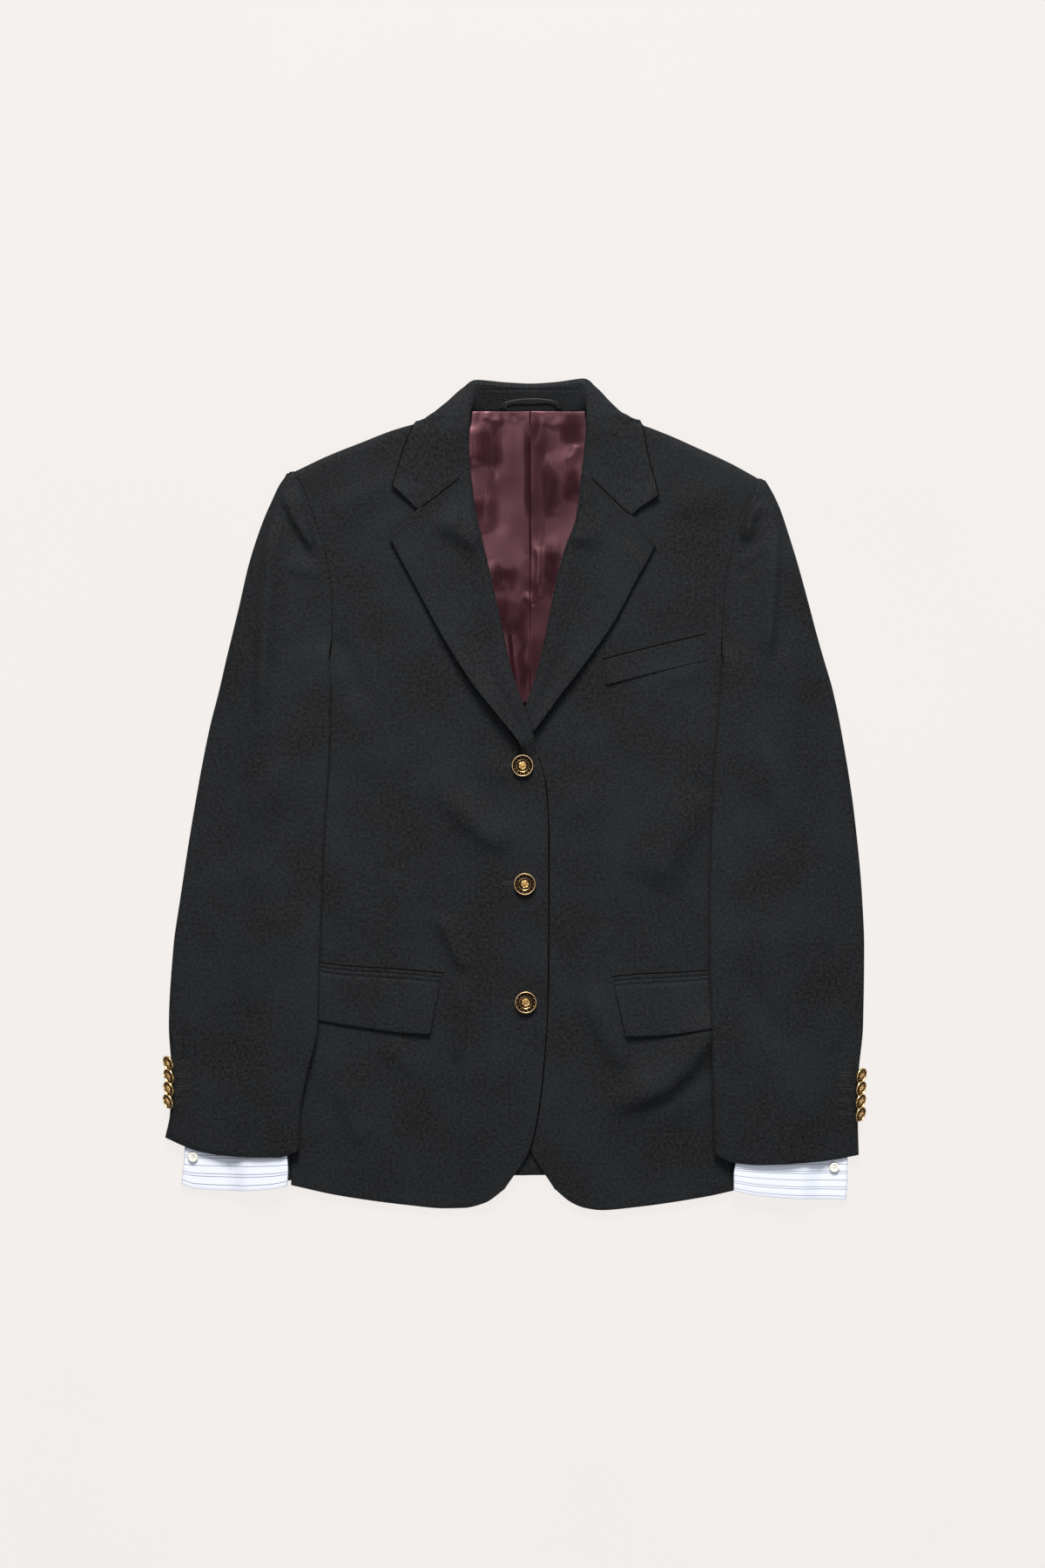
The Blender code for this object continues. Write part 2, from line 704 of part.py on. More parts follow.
def lip_point(row, distance):
    """A point beside the roll line, under a lapel."""
    roll, edge = Vector((row.roll_x, row.roll_y)), Vector((row.edge_x, row.edge_y))
    return roll + (edge - roll).normalized() * distance


def front_edges(table, sleeve, lapel, stations):
    """Ends of a front's rows: side seam and armhole, and front edge, roll line and neck."""
    out = 1 if table[0].side > 0 else -1
    armhole = table[-1].y
    plain = [(row.free, row.y) for row in table if row.free and row.y < lapel[0].roll_y - 10]
    roll = [tuple(lip_point(row, ROLL_LIP + HIDDEN_GAP)) for row in lapel]
    neck = [(row.foot_x + out * NECK_GAP, row.foot_y) for row in stations]
    free = [spot for spot in plain + roll + neck]

    def ends(level, reach):
        side = column(sleeve, "inner", level) if level > armhole else column(table, "side", level)
        return side - out * SEAM_GAP, smooth([p[1] for p in free], [p[0] for p in free], reach)

    return ends


def body_fronts(wool, collection):
    """The two fronts, the wearer's right one over the left."""
    low = [-362, -348, -326]
    for name, table, sleeve, lapel, stations, hem, top, height in (
        ("front_right", FRONT_RIGHT, SLEEVE_RIGHT, LAPEL_RIGHT, COLLAR[1:5], HEM_RIGHT, SHOULDER_RIGHT,
         front_right_z),
        ("front_left", FRONT_LEFT, SLEEVE_LEFT, LAPEL_LEFT, COLLAR[-2:-6:-1], HEM_LEFT, SHOULDER_LEFT,
         front_left_z),
    ):
        out = 1 if table[0].side > 0 else -1
        tip = column(top, "y", table[-1].side + out * 33, key="x")
        levels = low + sorted(LOW_LEVELS + (38, 48) + SIDE_LEVELS + ARM_LEVELS) + head_levels(tip) + [tip]
        edges = front_edges(table, sleeve, lapel, stations)
        rows = panel(levels, edges, line(hem), line(top), height, 12, True)
        sheet(name, rows, FRONT_WALL, wool, collection)


def body_backs(wool, collection):
    """The two halves of the back, which lie flat on the surface."""
    for name, table in (("back_right", BACK_RIGHT), ("back_left", BACK_LEFT)):
        out = 1 if table[0].side > 0 else -1

        def ends(level, reach):
            return column(table, "side", level) - out * SEAM_GAP / 2, CENTRE_BACK + out * SEAM_GAP / 2

        levels = [-351, *LOW_LEVELS, *SIDE_LEVELS, *ARM_LEVELS, *head_levels(table[-1].y), table[-1].y]
        rows = panel(levels, ends, line(HEM_BACK), line(SHOULDER_BACK), back_z, 8, False)
        sheet(name, rows, CLOTH_WALL, wool, collection)


def side_panels(wool, collection):
    """The side panels, folded between back and front."""
    for name, table, backs, fronts in (
        ("side_panel_right", SIDE_RIGHT, BACK_RIGHT, FRONT_RIGHT),
        ("side_panel_left", SIDE_LEFT, BACK_LEFT, FRONT_LEFT),
    ):
        out = 1 if table[0].fold > 0 else -1
        rows = []
        for y in (table[0].y,) + LOW_LEVELS + SIDE_LEVELS:
            back = column(backs, "side", y) + out * SEAM_GAP / 2
            front = column(fronts, "side", y) + out * SEAM_GAP
            top = lay(front, y)
            rise = (top - FLOOR) / 2
            core = column(table, "fold", y) - out * (CLOTH_WALL / 2 + rise)
            row = [(back + (core - back) * k / 2, y, FLOOR) for k in range(2)]
            for k in range(5):
                turn = math.pi * (k / 4 - 0.5)
                row.append((core + out * rise * math.cos(turn), y, FLOOR + rise * (1 + math.sin(turn))))
            row.append((front, y, top))
            rows.append(row)
        sheet(name, rows, CLOTH_WALL, wool, collection)


def lapel_section(row, height):
    """Points across a lapel: a lip beside the front, the roll, and out to the edge."""
    roll = Vector((row.roll_x, row.roll_y))
    edge = Vector((row.edge_x, row.edge_y))
    width = (edge - roll).length
    aim = (edge - roll) / width

    def at(distance, lift):
        point = roll + aim * distance
        share = min(distance / width, 1.0)
        point += Vector((aim.y, -aim.x)) * (row.bow * min(share / NOTCH_SHARE, (1 - share) / (1 - NOTCH_SHARE)))
        return (point.x, point.y, height(point.x, point.y) + lift)

    points = [at(ROLL_LIP, 0.0), at(2.9, 0.1), at(1.2, 1.6), at(1.2, 3.4), at(3.2, 4.9)]
    for k in range(1, 7):
        distance = 4.0 + (width - 4.0) * (k / 6) ** 1.25
        curl = 0.5 * ease(k / 3 - 1)
        lift = LAPEL_LIFT + ROLL_LIFT * math.exp(-(((distance - 4) / ROLL_REACH) ** 2)) + curl
        points.append(at(distance, lift))
    return points


def lapels(wool, collection):
    """The lapels, each rolled out of its front along the roll line."""
    for name, table, height in (
        ("lapel_right", LAPEL_RIGHT, front_right_z),
        ("lapel_left", LAPEL_LEFT, front_left_z),
    ):
        keys = list(range(len(table)))
        rows = []
        for at in spread(0, len(table) - 1, 13):
            row = LapelRow(*(smooth(keys, [r[c] for r in table], at) for c in range(5)))
            rows.append(lapel_section(row, height))
        sheet(name, rows, FRONT_WALL, wool, collection)


def collar_section(row):
    """Points across the collar: the stand's foot, the fold, the fall and its edge."""
    foot = Vector((row.foot_x, row.foot_y, row.foot_z))
    fold = Vector((row.fold_x, row.fold_y, row.fold_z))
    crest = Vector((row.crest_x, row.crest_y, row.crest_z))
    edge = Vector((row.edge_x, row.edge_y, row.edge_z))
    over = [
        fold.lerp(crest, 0.3) + Vector((0, 0, 0.8)), crest,
        crest.lerp(edge, 0.3), crest.lerp(edge, 0.55), crest.lerp(edge, 0.8),
    ]
    under = [
        fold.lerp(crest, 0.5) + Vector((0, 0, 1.0)), crest, Vector((*crest.lerp(edge, 0.2).xy, edge.z + 0.3)),
        Vector((*crest.lerp(edge, 0.45).xy, edge.z)), Vector((*crest.lerp(edge, 0.75).xy, edge.z)),
    ]
    share = ease((FALL_OVER - row.edge_z) / (FALL_OVER - FALL_UNDER))
    points = [foot, foot.lerp(fold, 0.5) + Vector((0, 0, 0.2)), fold]
    points += [a.lerp(b, share) for a, b in zip(over, under)]
    curve = through(points + [edge], (1, 2, 2, 2, 2, 1, 1, 1))
    return [(p.x, p.y, max(p.z, FRONT_WALL / 2)) for p in curve]


def collar(wool, collection):
    """The collar: stand inside the neck, fall over the fronts and under the back."""
    keys = list(range(len(COLLAR)))
    rows = []
    for at in COLLAR_STATIONS + tuple(keys[-1] - at for at in COLLAR_STATIONS[-2::-1]):
        row = CollarRow(*(smooth(keys, [r[c] for r in COLLAR], at) for c in range(len(CollarRow._fields))))
        rows.append(collar_section(row))
    sheet("collar", rows, FRONT_WALL, wool, collection)


def lining(satin, collection):
    """The back lining, built where the neck opening shows it."""
    rows = []
    for y in spread(LINING[-1].y, LINING[0].y, 11):
        right, left = column(LINING, "right", y), column(LINING, "left", y)
        row = []
        for k in range(8):
            x = right + (left - right) * k / 7
            rest = back_z(x, y) + CLOTH_WALL / 2 + SEAM_GAP + LINING_WALL / 2 + LINING_EASE
            row.append((x, y, rest + fold_height(LINING_FOLDS, x, y)))
        rows.append(row)
    sheet("back_lining", rows, LINING_WALL, satin, collection)


# ---------------------------------------------------------------- sleeves


def sleeve_base(table, side, x, y):
    """Height of the under sleeve's middle: on the surface, or over the body's side."""
    out = 1 if table[0].outer > 0 else -1
    inside = out * (column(side, "fold", y) - x)
    high = lay(column(side, "fold", y) - out * SIDE_WIDTH, y) + column(table, "lift", y)
    return FLOOR + (high - FLOOR) * ease((inside + 21) / 17)


def sleeve_depth(y):
    """Distance between the two walls of a sleeve, with room for the shirt cuff."""
    return ARM_DEPTH + (CUFF_DEPTH - ARM_DEPTH) * ease((-236 - y) / 40)


def sleeve_section(table, side, back, tip, y):
    """Points round a top sleeve: tuck, inner fold, top, outer fold and return.

    tip is the level where the head ends: there it comes down onto the shoulder seam.
    """
    outer, inner = column(table, "outer", y), column(table, "inner", y)
    out = 1 if outer > 0 else -1
    width = abs(outer - inner)
    tuck, crown = column(table, "tuck", y), column(table, "crown", y)
    arm = ease((tuck - HEAD_TUCK) / ARM_TUCK)
    low = edge_curl(lay(inner, y) + column(table, "lift", y), tip - y, CROWN_END)
    high = low + HEAD_RISE + (sleeve_depth(y) - HEAD_RISE) * arm
    fall = CROWN_FALL * ease((y - tip + 18) / 18)
    out_z = FLOOR + sleeve_depth(y) + 1.6 * ease((y - 60) / 80)
    seam = abs(outer - column(back, "side", y)) - HIDDEN_GAP
    back_run = BACK_RUN + (seam - BACK_RUN) * ease((y - 96) / 6)
    half = CLOTH_WALL / 2
    points = [(tuck, low)]
    core = (high - low) / 2
    for k in range(4):
        turn = math.pi * (k / 3 - 0.5)
        points.append((half + core * (0.87 - math.cos(turn)), low + core * (1 + math.sin(turn))))
    near = points[-1][0]
    round_out = (out_z - FLOOR) / 2
    far = width - half - round_out * 0.87
    for k in range(1, 8):
        share = k / 8
        distance = near + (far - near) * share
        inside = out * (column(side, "fold", y) - inner) - distance
        z = out_z + (high - out_z) * ease((inside + 44) / 56) + crown * math.sin(math.pi * share) ** 0.8
        z += fold_height(SLEEVE_FOLDS, inner + out * distance, y) * math.sin(math.pi * share) ** 0.5
        points.append((distance, z))
    for k in range(4):
        turn = math.pi * (0.5 - k / 3)
        points.append((far + round_out * math.cos(turn), FLOOR + round_out * (1 + math.sin(turn))))
    last = width - far
    points += [(width - last - (back_run - last) * k / 2, FLOOR) for k in (1, 2)]
    return [(inner + out * distance, y - fall * distance / width, z) for distance, z in points]


def hem_shift(points, hem, low, zone):
    """Bring the lowest sections of a sleeve onto its slanting hem."""
    shifted = []
    for x, y, z in points:
        if y < zone:
            y = zone + (column(hem, "y", x, key="x") - zone) * (zone - y) / (zone - low)
        shifted.append((x, y, z))
    return shifted


def sleeves(wool, collection):
    """The two-piece sleeves, with the top piece round the outer fold at the head."""
    for hand, table, side, back, hem, shoulder in (
        ("right", SLEEVE_RIGHT, SIDE_RIGHT, BACK_RIGHT, SLEEVE_HEM_RIGHT, SHOULDER_RIGHT[0]),
        ("left", SLEEVE_LEFT, SIDE_LEFT, BACK_LEFT, SLEEVE_HEM_LEFT, SHOULDER_LEFT[-1]),
    ):
        low = table[-1].y
        out = 1 if table[0].outer > 0 else -1
        arm = [93] + spread(60, low, 12)
        levels = head_levels(shoulder.y)[::-1] + list(ARM_LEVELS[::-1]) + arm
        rows = []
        for y in levels:
            section = sleeve_section(table, side, back, shoulder.y, y)
            rows.append(hem_shift(section, hem, low, SLEEVE_HEM_ZONE))
        sheet("top_sleeve_" + hand, rows, CLOTH_WALL, wool, collection)

        rows = []
        for y in arm:
            inner = column(table, "inner", y) + out * (column(table, "tuck", y) + SEAM_GAP)
            outer = column(table, "outer", y) - out * (BACK_RUN + HIDDEN_GAP)
            fold = column(side, "fold", y)
            stops = [inner, (inner + fold) / 2] + [fold + out * v for v in SIDE_STOPS]
            stops += [(fold + out * SIDE_STOPS[-1] + outer) / 2, outer]
            row = [(x, y, sleeve_base(table, side, x, y)) for x in stops]
            rows.append(hem_shift(row, hem, low, SLEEVE_HEM_ZONE))
        sheet("under_sleeve_" + hand, rows, CLOTH_WALL, wool, collection)


# ---------------------------------------------------------------- trim


def patch(piece, height, material, collection, across=4):
    """A piece that lies on a front, made from the front's points, moved out."""
    steps = [2] * (len(piece.top) - 1)
    tops = through([(*p, 0) for p in piece.top], steps)
    bottoms = through([(*p, 0) for p in piece.bottom], steps)
    rise = FRONT_WALL / 2 + LAY_GAP + piece.wall / 2
    rows = []
    for k in range(across):
        share = k / (across - 1)
        row = []
        for a, b in zip(tops, bottoms):
            spot = a.lerp(b, share)
            row.append((spot.x, spot.y, height(spot.x, spot.y) + rise + piece.soft * share * share))
        rows.append(row)
    sheet(piece.name, rows, piece.wall, material, collection)


def pockets(wool, collection):
    """Breast welt, hip jets and flaps."""
    patch(WELT_LEFT, front_left_z, wool, collection)
    patch(JET_LEFT, front_left_z, wool, collection, across=2)
    patch(FLAP_LEFT, front_left_z, wool, collection, across=6)
    patch(JET_RIGHT, front_right_z, wool, collection, across=2)
    patch(FLAP_RIGHT, front_right_z, wool, collection, across=6)


def button_profile(diameter, thick):
    """A blazer button's outline: raised rim round a low dome, and a flat back."""
    r = diameter / 2
    return [
        (0, thick * 0.84), (r * 0.4, thick * 0.78), (r * 0.7, thick * 0.56), (r * 0.78, thick * 0.92),
        (r * 0.88, thick), (r, thick * 0.6), (r * 0.95, thick * 0.1), (r * 0.85, 0), (0, 0),
    ]


def front_buttons(metal, collection):
    """Three buttons down the right front."""
    for count, spot in enumerate(FRONT_BUTTONS, start=1):
        r = FRONT_BUTTON / 2
        ring = [(spot.x + r * math.cos(t), spot.y + r * math.sin(t)) for t in spread(0, 2 * math.pi, 13)]
        rest = max(front_right_z(x, y) for x, y in ring) + FRONT_WALL / 2 + BUTTON_SEAT
        profile = button_profile(FRONT_BUTTON, FRONT_THICK)
        button = turned("front_button_%d" % count, profile, 18, metal, collection)
        button.location = Vector((spot.x, spot.y, rest)) * MM


def cuff_buttons(metal, collection):
    """Four shingled buttons at the outer edge of each cuff, leaning outwards."""
    for hand, table, places in (
        ("right", SLEEVE_RIGHT, CUFF_BUTTONS_RIGHT),
        ("left", SLEEVE_LEFT, CUFF_BUTTONS_LEFT),
    ):
        out = 1 if table[0].outer > 0 else -1
        tilt = math.radians(CUFF_TILT)
        stand_off = CUFF_BUTTON / 2 * math.sin(math.radians(CUFF_SHINGLE)) + BUTTON_GAP
        lean = Vector((out * math.sin(tilt), 0, math.cos(tilt)))
        for count, y in enumerate(places, start=1):
            rise = (sleeve_depth(y - CUFF_BUTTON / 4) + CLOTH_WALL) / 2
            core = Vector((column(table, "outer", y) - out * rise, y, rise))
            profile = button_profile(CUFF_BUTTON, CUFF_THICK)
            button = turned("cuff_button_%s_%d" % (hand, count), profile, 12, metal, collection)
            button.location = (core + lean * (rise + stand_off)) * MM
            button.rotation_euler = Euler((math.radians(CUFF_SHINGLE), out * tilt, 0), "XYZ")


def shirt_cuffs(shirting, pearl, collection):
    """The shirt cuffs in the sleeve ends, each a flat tube with one pearl button."""
    for hand, table, hem, spot, sleeve, side in (
        ("right", SHIRT_RIGHT, SHIRT_HEM_RIGHT, PEARL_RIGHT, SLEEVE_RIGHT, SIDE_RIGHT),
        ("left", SHIRT_LEFT, SHIRT_HEM_LEFT, PEARL_LEFT, SLEEVE_LEFT, SIDE_LEFT),
    ):
        low = table[-1].y
        out = 1 if table[0].outer > 0 else -1

        def middle(x, y):
            base = sleeve_base(sleeve, side, x, max(y, sleeve[-1].y))
            return base + CLOTH_WALL / 2 + SEAM_GAP + SHIRT_WALL / 2 + SHIRT_HALF

        rows = []
        for y in spread(table[0].y, low, 5):
            inner = column(table, "inner", y) + out * 1.4
            outer = column(table, "outer", y) - out * 1.4
            fold = column(side, "fold", y)
            stops = [inner, (inner + fold) / 2] + [fold + out * v for v in SIDE_STOPS]
            stops += [(fold + out * SIDE_STOPS[-1] + outer) / 2, outer]
            ring = [(x, y, middle(x, y) + SHIRT_HALF) for x in stops]
            ring += [(outer + out * 0.9, y, middle(outer, y))]
            ring += [(x, y, middle(x, y) - SHIRT_HALF) for x in reversed(stops)]
            ring += [(inner - out * 0.9, y, middle(inner, y))]
            rows.append(hem_shift(ring, hem, low, SHIRT_HEM_ZONE))
        sheet("shirt_cuff_" + hand, rows, SHIRT_WALL, shirting, collection, ring=True)
        button = turned("pearl_button_" + hand, PEARL_PROFILE, 14, pearl, collection)
        rest = middle(spot.x, spot.y) + SHIRT_HALF + SHIRT_WALL / 2 + SEAM_GAP
        button.location = Vector((spot.x, spot.y, rest)) * MM


def hanger_loop(tape, collection):
    """The satin hanging loop that arches over the stand at the back of the neck."""
    rows = []
    for side in (-0.5, 0.0, 0.5):
        row = []
        for spot in through([(x, y, 0) for x, y in LOOP], [1, 2, 1, 1, 1, 1, 2, 1]):
            centre = Vector((15.0, 346.0, 0))
            away = (spot - centre).normalized()
            point = spot + away * (side * LOOP_WIDTH)
            row.append((point.x, point.y, stand_z(point.y) + FRONT_WALL / 2 + LAY_GAP + 0.8))
        rows.append(row)
    sheet("hanger_loop", rows, 1.0, tape, collection)


def main():
    """Clear the scene and build every piece of the jacket."""
    for thing in list(bpy.data.objects):
        bpy.data.objects.remove(thing, do_unlink=True)
    collection = bpy.data.collections.new(NAME)
    bpy.context.scene.collection.children.link(collection)

    wool = finish("charcoal_wool", (41, 42, 44), 0.85)
    satin = finish("burgundy_satin", (112, 74, 82), 0.38)
    tape = finish("black_satin_tape", (18, 17, 19), 0.4)
    metal = finish("antique_brass", (168, 140, 84), 0.36, 1.0)
    shirting = finish("striped_shirting", (228, 232, 241), 0.8)
    pearl = finish("pearl_shell", (226, 224, 220), 0.25)

    body_backs(wool, collection)
    side_panels(wool, collection)
    lining(satin, collection)
    body_fronts(wool, collection)
    lapels(wool, collection)
    collar(wool, collection)
    hanger_loop(tape, collection)
    sleeves(wool, collection)
    pockets(wool, collection)
    front_buttons(metal, collection)
    cuff_buttons(metal, collection)
    shirt_cuffs(shirting, pearl, collection)


main()
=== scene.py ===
"""Looks of a single-breasted suit jacket, buttoned and laid flat on its back.

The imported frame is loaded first, and every piece here stands for one of its nodes.
X runs across the chest, Y from hem to neck and Z up. Tables and sizes are in
millimetres in the frame's own axes, and MM turns them into metres. "Right" and
"left" are the wearer's: the wearer's right is at -X.
"""

import logging
import math
from dataclasses import dataclass, field
from enum import Enum
from typing import Any, Callable, NamedTuple, Optional, Sequence

import bmesh
import bpy
import numpy as np
from bpy.types import Material, Mesh, Node, NodeSocket, NodeTree, Object
from mathutils import Euler, Matrix, Vector, noise


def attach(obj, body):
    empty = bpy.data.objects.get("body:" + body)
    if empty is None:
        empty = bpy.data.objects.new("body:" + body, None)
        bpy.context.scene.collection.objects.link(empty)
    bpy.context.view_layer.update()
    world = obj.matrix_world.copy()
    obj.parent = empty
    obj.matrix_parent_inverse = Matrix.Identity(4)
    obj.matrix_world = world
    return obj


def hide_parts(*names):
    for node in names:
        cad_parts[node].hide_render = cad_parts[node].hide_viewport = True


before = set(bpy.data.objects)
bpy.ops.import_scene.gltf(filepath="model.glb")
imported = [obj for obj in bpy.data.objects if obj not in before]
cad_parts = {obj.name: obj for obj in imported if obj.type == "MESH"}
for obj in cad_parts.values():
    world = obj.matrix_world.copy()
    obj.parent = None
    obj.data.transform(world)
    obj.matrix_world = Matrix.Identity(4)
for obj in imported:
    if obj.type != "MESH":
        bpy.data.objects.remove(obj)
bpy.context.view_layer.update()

logging.basicConfig(level=logging.INFO, format="%(message)s")
LOG = logging.getLogger("suit_jacket")

Flat = tuple[float, float]
Point = tuple[float, float, float]
Rows = list[list[Point]]
Height = Callable[[float, float], float]

MM = 0.001
# Walls: outer cloth with its interlining, plain cloth, satin and shirting.
FRONT_WALL = 2.0
CLOTH_WALL = 1.6
LINING_WALL = 1.0
SHIRT_WALL = 1.0
FLAP_WALL = 1.6
SEAM_GAP = 0.3
LAY_GAP = 0.6

FLOOR = CLOTH_WALL / 2
CENTRE_BACK = 14.0
NECK_CENTRE = 15.0
LINING_EASE = 1.1
ROLL_LIP = 5.5
HIDDEN_GAP = 1.2
NECK_GAP = 2.4
SIDE_WIDTH = 36.0
EDGE_ROLL = 8.0
CHEST_HIGH = 1.2
NECK_RISE = 2.8
PRESS_UNEVEN = 0.45
ARM_DEPTH = 4.0
ARM_TOP = 93.0
CUFF_DEPTH = 5.5
HEAD_ZONE = 258.0
HEM_ZONE = -296.0
SLEEVE_HEM_ZONE = -286.0
SHIRT_HEM_ZONE = -330.0
HEAD_SHARES = (0.0, 0.35, 0.62, 0.82, 0.95)
LOW_LEVELS = (-296, -244, -192, -140, -88, -36, 16, 60)
FRONT_LEVELS = (-362, -348, -326, 38, 48)
SIDE_LEVELS = (76, 91)
SIDE_STOPS = (-6, 3, 8, 13, 21)
ARM_LEVELS = (103, 112, 124, 136, 148, 166, 190, 214, 236)
NOTCH_SHARE = 0.62
LAPEL_LIFT = 2.8
ROLL_LIFT = 2.4
ROLL_REACH = 14.0
# The roll's underside: distance from the roll line and height over the front, up to LIP_END.
LAPEL_LIP = ((ROLL_LIP, 0), (2.9, 0.1), (1.5, 0.7), (1.1, 1.6), (1, 2.5), (1.3, 3.5), (2.1, 4.5), (3.2, 4.95))
LIP_END = 4.0
OVERLAP_LIFT = FRONT_WALL + LAY_GAP + 0.6

FRONT_BUTTON = 20.0
CUFF_BUTTON = 14.6
SHIRT_HALF = 1.3
CUFF_TILT = 50.0
CUFF_SHINGLE = 17.0
BUTTON_GAP = 0.75

# Sleeves: the run of the top piece under the outer fold, the tucks at the head and down
# the arm, how far the crown's end falls outwards, and the height it comes down to.
BACK_RUN = 5.4
HEAD_TUCK = 3.4
ARM_TUCK = 6.0
HEAD_RISE = 2.6
CROWN_FALL = 2.2
CROWN_END = 2.7
# How far a pressed fold's half round reaches past its straight part, for a radius of 1.
PRESSED = 0.87
# The fall changes from lying on the fronts to lying under the back between these heights.
FALL_OVER = 6.8
FALL_UNDER = 2.0
# Where the collar's table is read, from the right end to the centre back. The stations
# are close together at the shoulder, where the fall turns under.
COLLAR_STATIONS = (0, 0.8, 1.6, 2.4, 3.2, 4, 4.25, 4.5, 4.75, 5, 5.6, 6.3, 7, 8, 9, 10)


def rows_of(kind: Callable[..., Any], *rows: Sequence[Any]) -> list[Any]:
    """Make a table: one row of the given kind for each tuple."""
    return [kind(*row) for row in rows]


class Lay(NamedTuple):
    """Height of the middle of the front's wall above the surface, at one level."""

    y: float
    z: float


LAY = rows_of(Lay, (-385, 4.3), (-200, 4.6), (0, 5.2), (100, 6), (200, 6.9), (300, 7.6), (360, 7.8))


class Fold(NamedTuple):
    """A soft ridge (high > 0) or trough (high < 0) along a line from start to end."""

    x0: float
    y0: float
    x1: float
    y1: float
    high: float
    half: float


BODY_FOLDS = rows_of(Fold,
    (-68, 0, -34, -40, 1.3, 20), (-88, -112, -62, -150, -0.9, 18), (-150, -262, -128, -332, 1.4, 24),
    (168, -236, 100, -292, 1.6, 24), (58, -196, 84, -262, -0.9, 20), (62, -12, 90, -70, 0.9, 20),
    (-128, 40, -118, 120, 1, 24), (140, 20, 132, 84, 1, 24), (-30, -250, -36, -340, 0.8, 20),
)
SLEEVE_FOLDS = rows_of(Fold,
    (-222, 262, -236, 60, 2, 16), (-205, 262, -190, 226, -1.4, 11), (-196, 206, -182, 212, -1, 9),
    (-216, 20, -240, -64, 1.5, 20), (-262, -70, -284, -160, 1.2, 20), (-214, -150, -252, -236, -1.2, 20),
    (242, 256, 232, 110, 2, 16), (222, 226, 204, 206, -1.2, 10), (226, 40, 250, -30, 1.5, 20),
    (276, -60, 286, -150, 1.2, 20), (214, -160, 250, -240, -1.2, 20),
)


class BodyRow(NamedTuple):
    """One level of a body panel: its side edge and its free edge.

    On a front the free edge is read from here only below the roll line.
    """

    y: float
    side: float
    free: float


FRONT_RIGHT = rows_of(BodyRow,
    (-362, -205, -8.8), (-325, -205, 14.4), (-302, -205, 20), (-262, -203, 25.6), (-190, -200, 30.4),
    (-110, -197, 31.2), (-30, -196, 31.2), (10, -198, 28.4), (34, -200, 21.8), (92, -206, 0), (100, -196, 0),
    (112, -179, 0), (126, -168.8, 0), (136, -167.8, 0), (144, -166.9, 0),
)
FRONT_LEFT = rows_of(BodyRow,
    (-362, 222, 36.8), (-325, 222, 14.4), (-298, 222, 5.6), (-254, 220, -4.8), (-214, 218, -10.4),
    (-150, 215, -12), (-70, 213, -12.8), (-14, 214, -12), (22, 217, -8), (42, 219, 0), (92, 226, 20.8),
    (98, 215, 0), (107, 200, 0), (124, 190.4, 0), (134, 190, 0), (142, 190, 0),
)
BACK_RIGHT = rows_of(BodyRow, *((y, side, CENTRE_BACK) for y, side in (
    (-351, -184), (-200, -178), (-40, -172), (60, -178), (92, -184), (104, -206), (116, -196), (140, -186),
    (200, -184), (256, -190), (288, -197),
)))
BACK_LEFT = rows_of(BodyRow, *((y, side, CENTRE_BACK) for y, side in (
    (-351, 204), (-200, 198), (-40, 192), (60, 198), (92, 204), (104, 226), (116, 218), (140, 210), (200, 208),
    (256, 213), (284, 219),
)))


class Edge(NamedTuple):
    """A point on an edge that runs across the jacket, such as a hem or shoulder."""

    x: float
    y: float


HEM_RIGHT = rows_of(Edge,
    (-206, -358), (-160, -368), (-96, -376.8), (-64, -379.6), (-46, -379.2), (-27, -374.4), (-8.8, -361.6),
)
HEM_LEFT = rows_of(Edge,
    (36.8, -361.6), (52.8, -374.4), (65.6, -379.4), (80, -381.2), (112, -378.4), (176, -368.8), (208, -361.6),
    (223, -358),
)
HEM_BACK = rows_of(Edge, (-190, -352), (CENTRE_BACK, -349.4), (206, -352))
SHOULDER_RIGHT = rows_of(Edge,
    (-200, 296), (-171, 309.8), (-140, 322.2), (-108, 334.4), (-87, 339.6), (-49, 342),
)
SHOULDER_LEFT = rows_of(Edge, (72, 342), (112, 338.9), (136, 331), (168, 317), (198, 303), (222.4, 289.6))
SHOULDER_BACK = rows_of(Edge,
    (-197, 290), (-140, 317), (-87, 337), (-50, 348), (-30, 351), (CENTRE_BACK, 351), (58, 351), (78, 348),
    (113, 337), (166, 314), (219, 286.6),
)


class SideRow(NamedTuple):
    """One level of a side panel: its outer fold."""

    y: float
    fold: float


SIDE_RIGHT = rows_of(SideRow,
    (-354, -240.8), (-302, -240), (-214, -235.2), (-118, -229.6), (-38, -227.2), (34, -229.6), (91, -232),
)
SIDE_LEFT = rows_of(SideRow,
    (-354, 260), (-302, 259.2), (-214, 254.4), (-118, 248.8), (-38, 246.4), (34, 248.8), (91, 252),
)


class SleeveRow(NamedTuple):
    """One level of a sleeve: outer and inner edge, lift off the body, crown and tuck."""

    y: float
    outer: float
    inner: float
    lift: float
    crown: float
    tuck: float


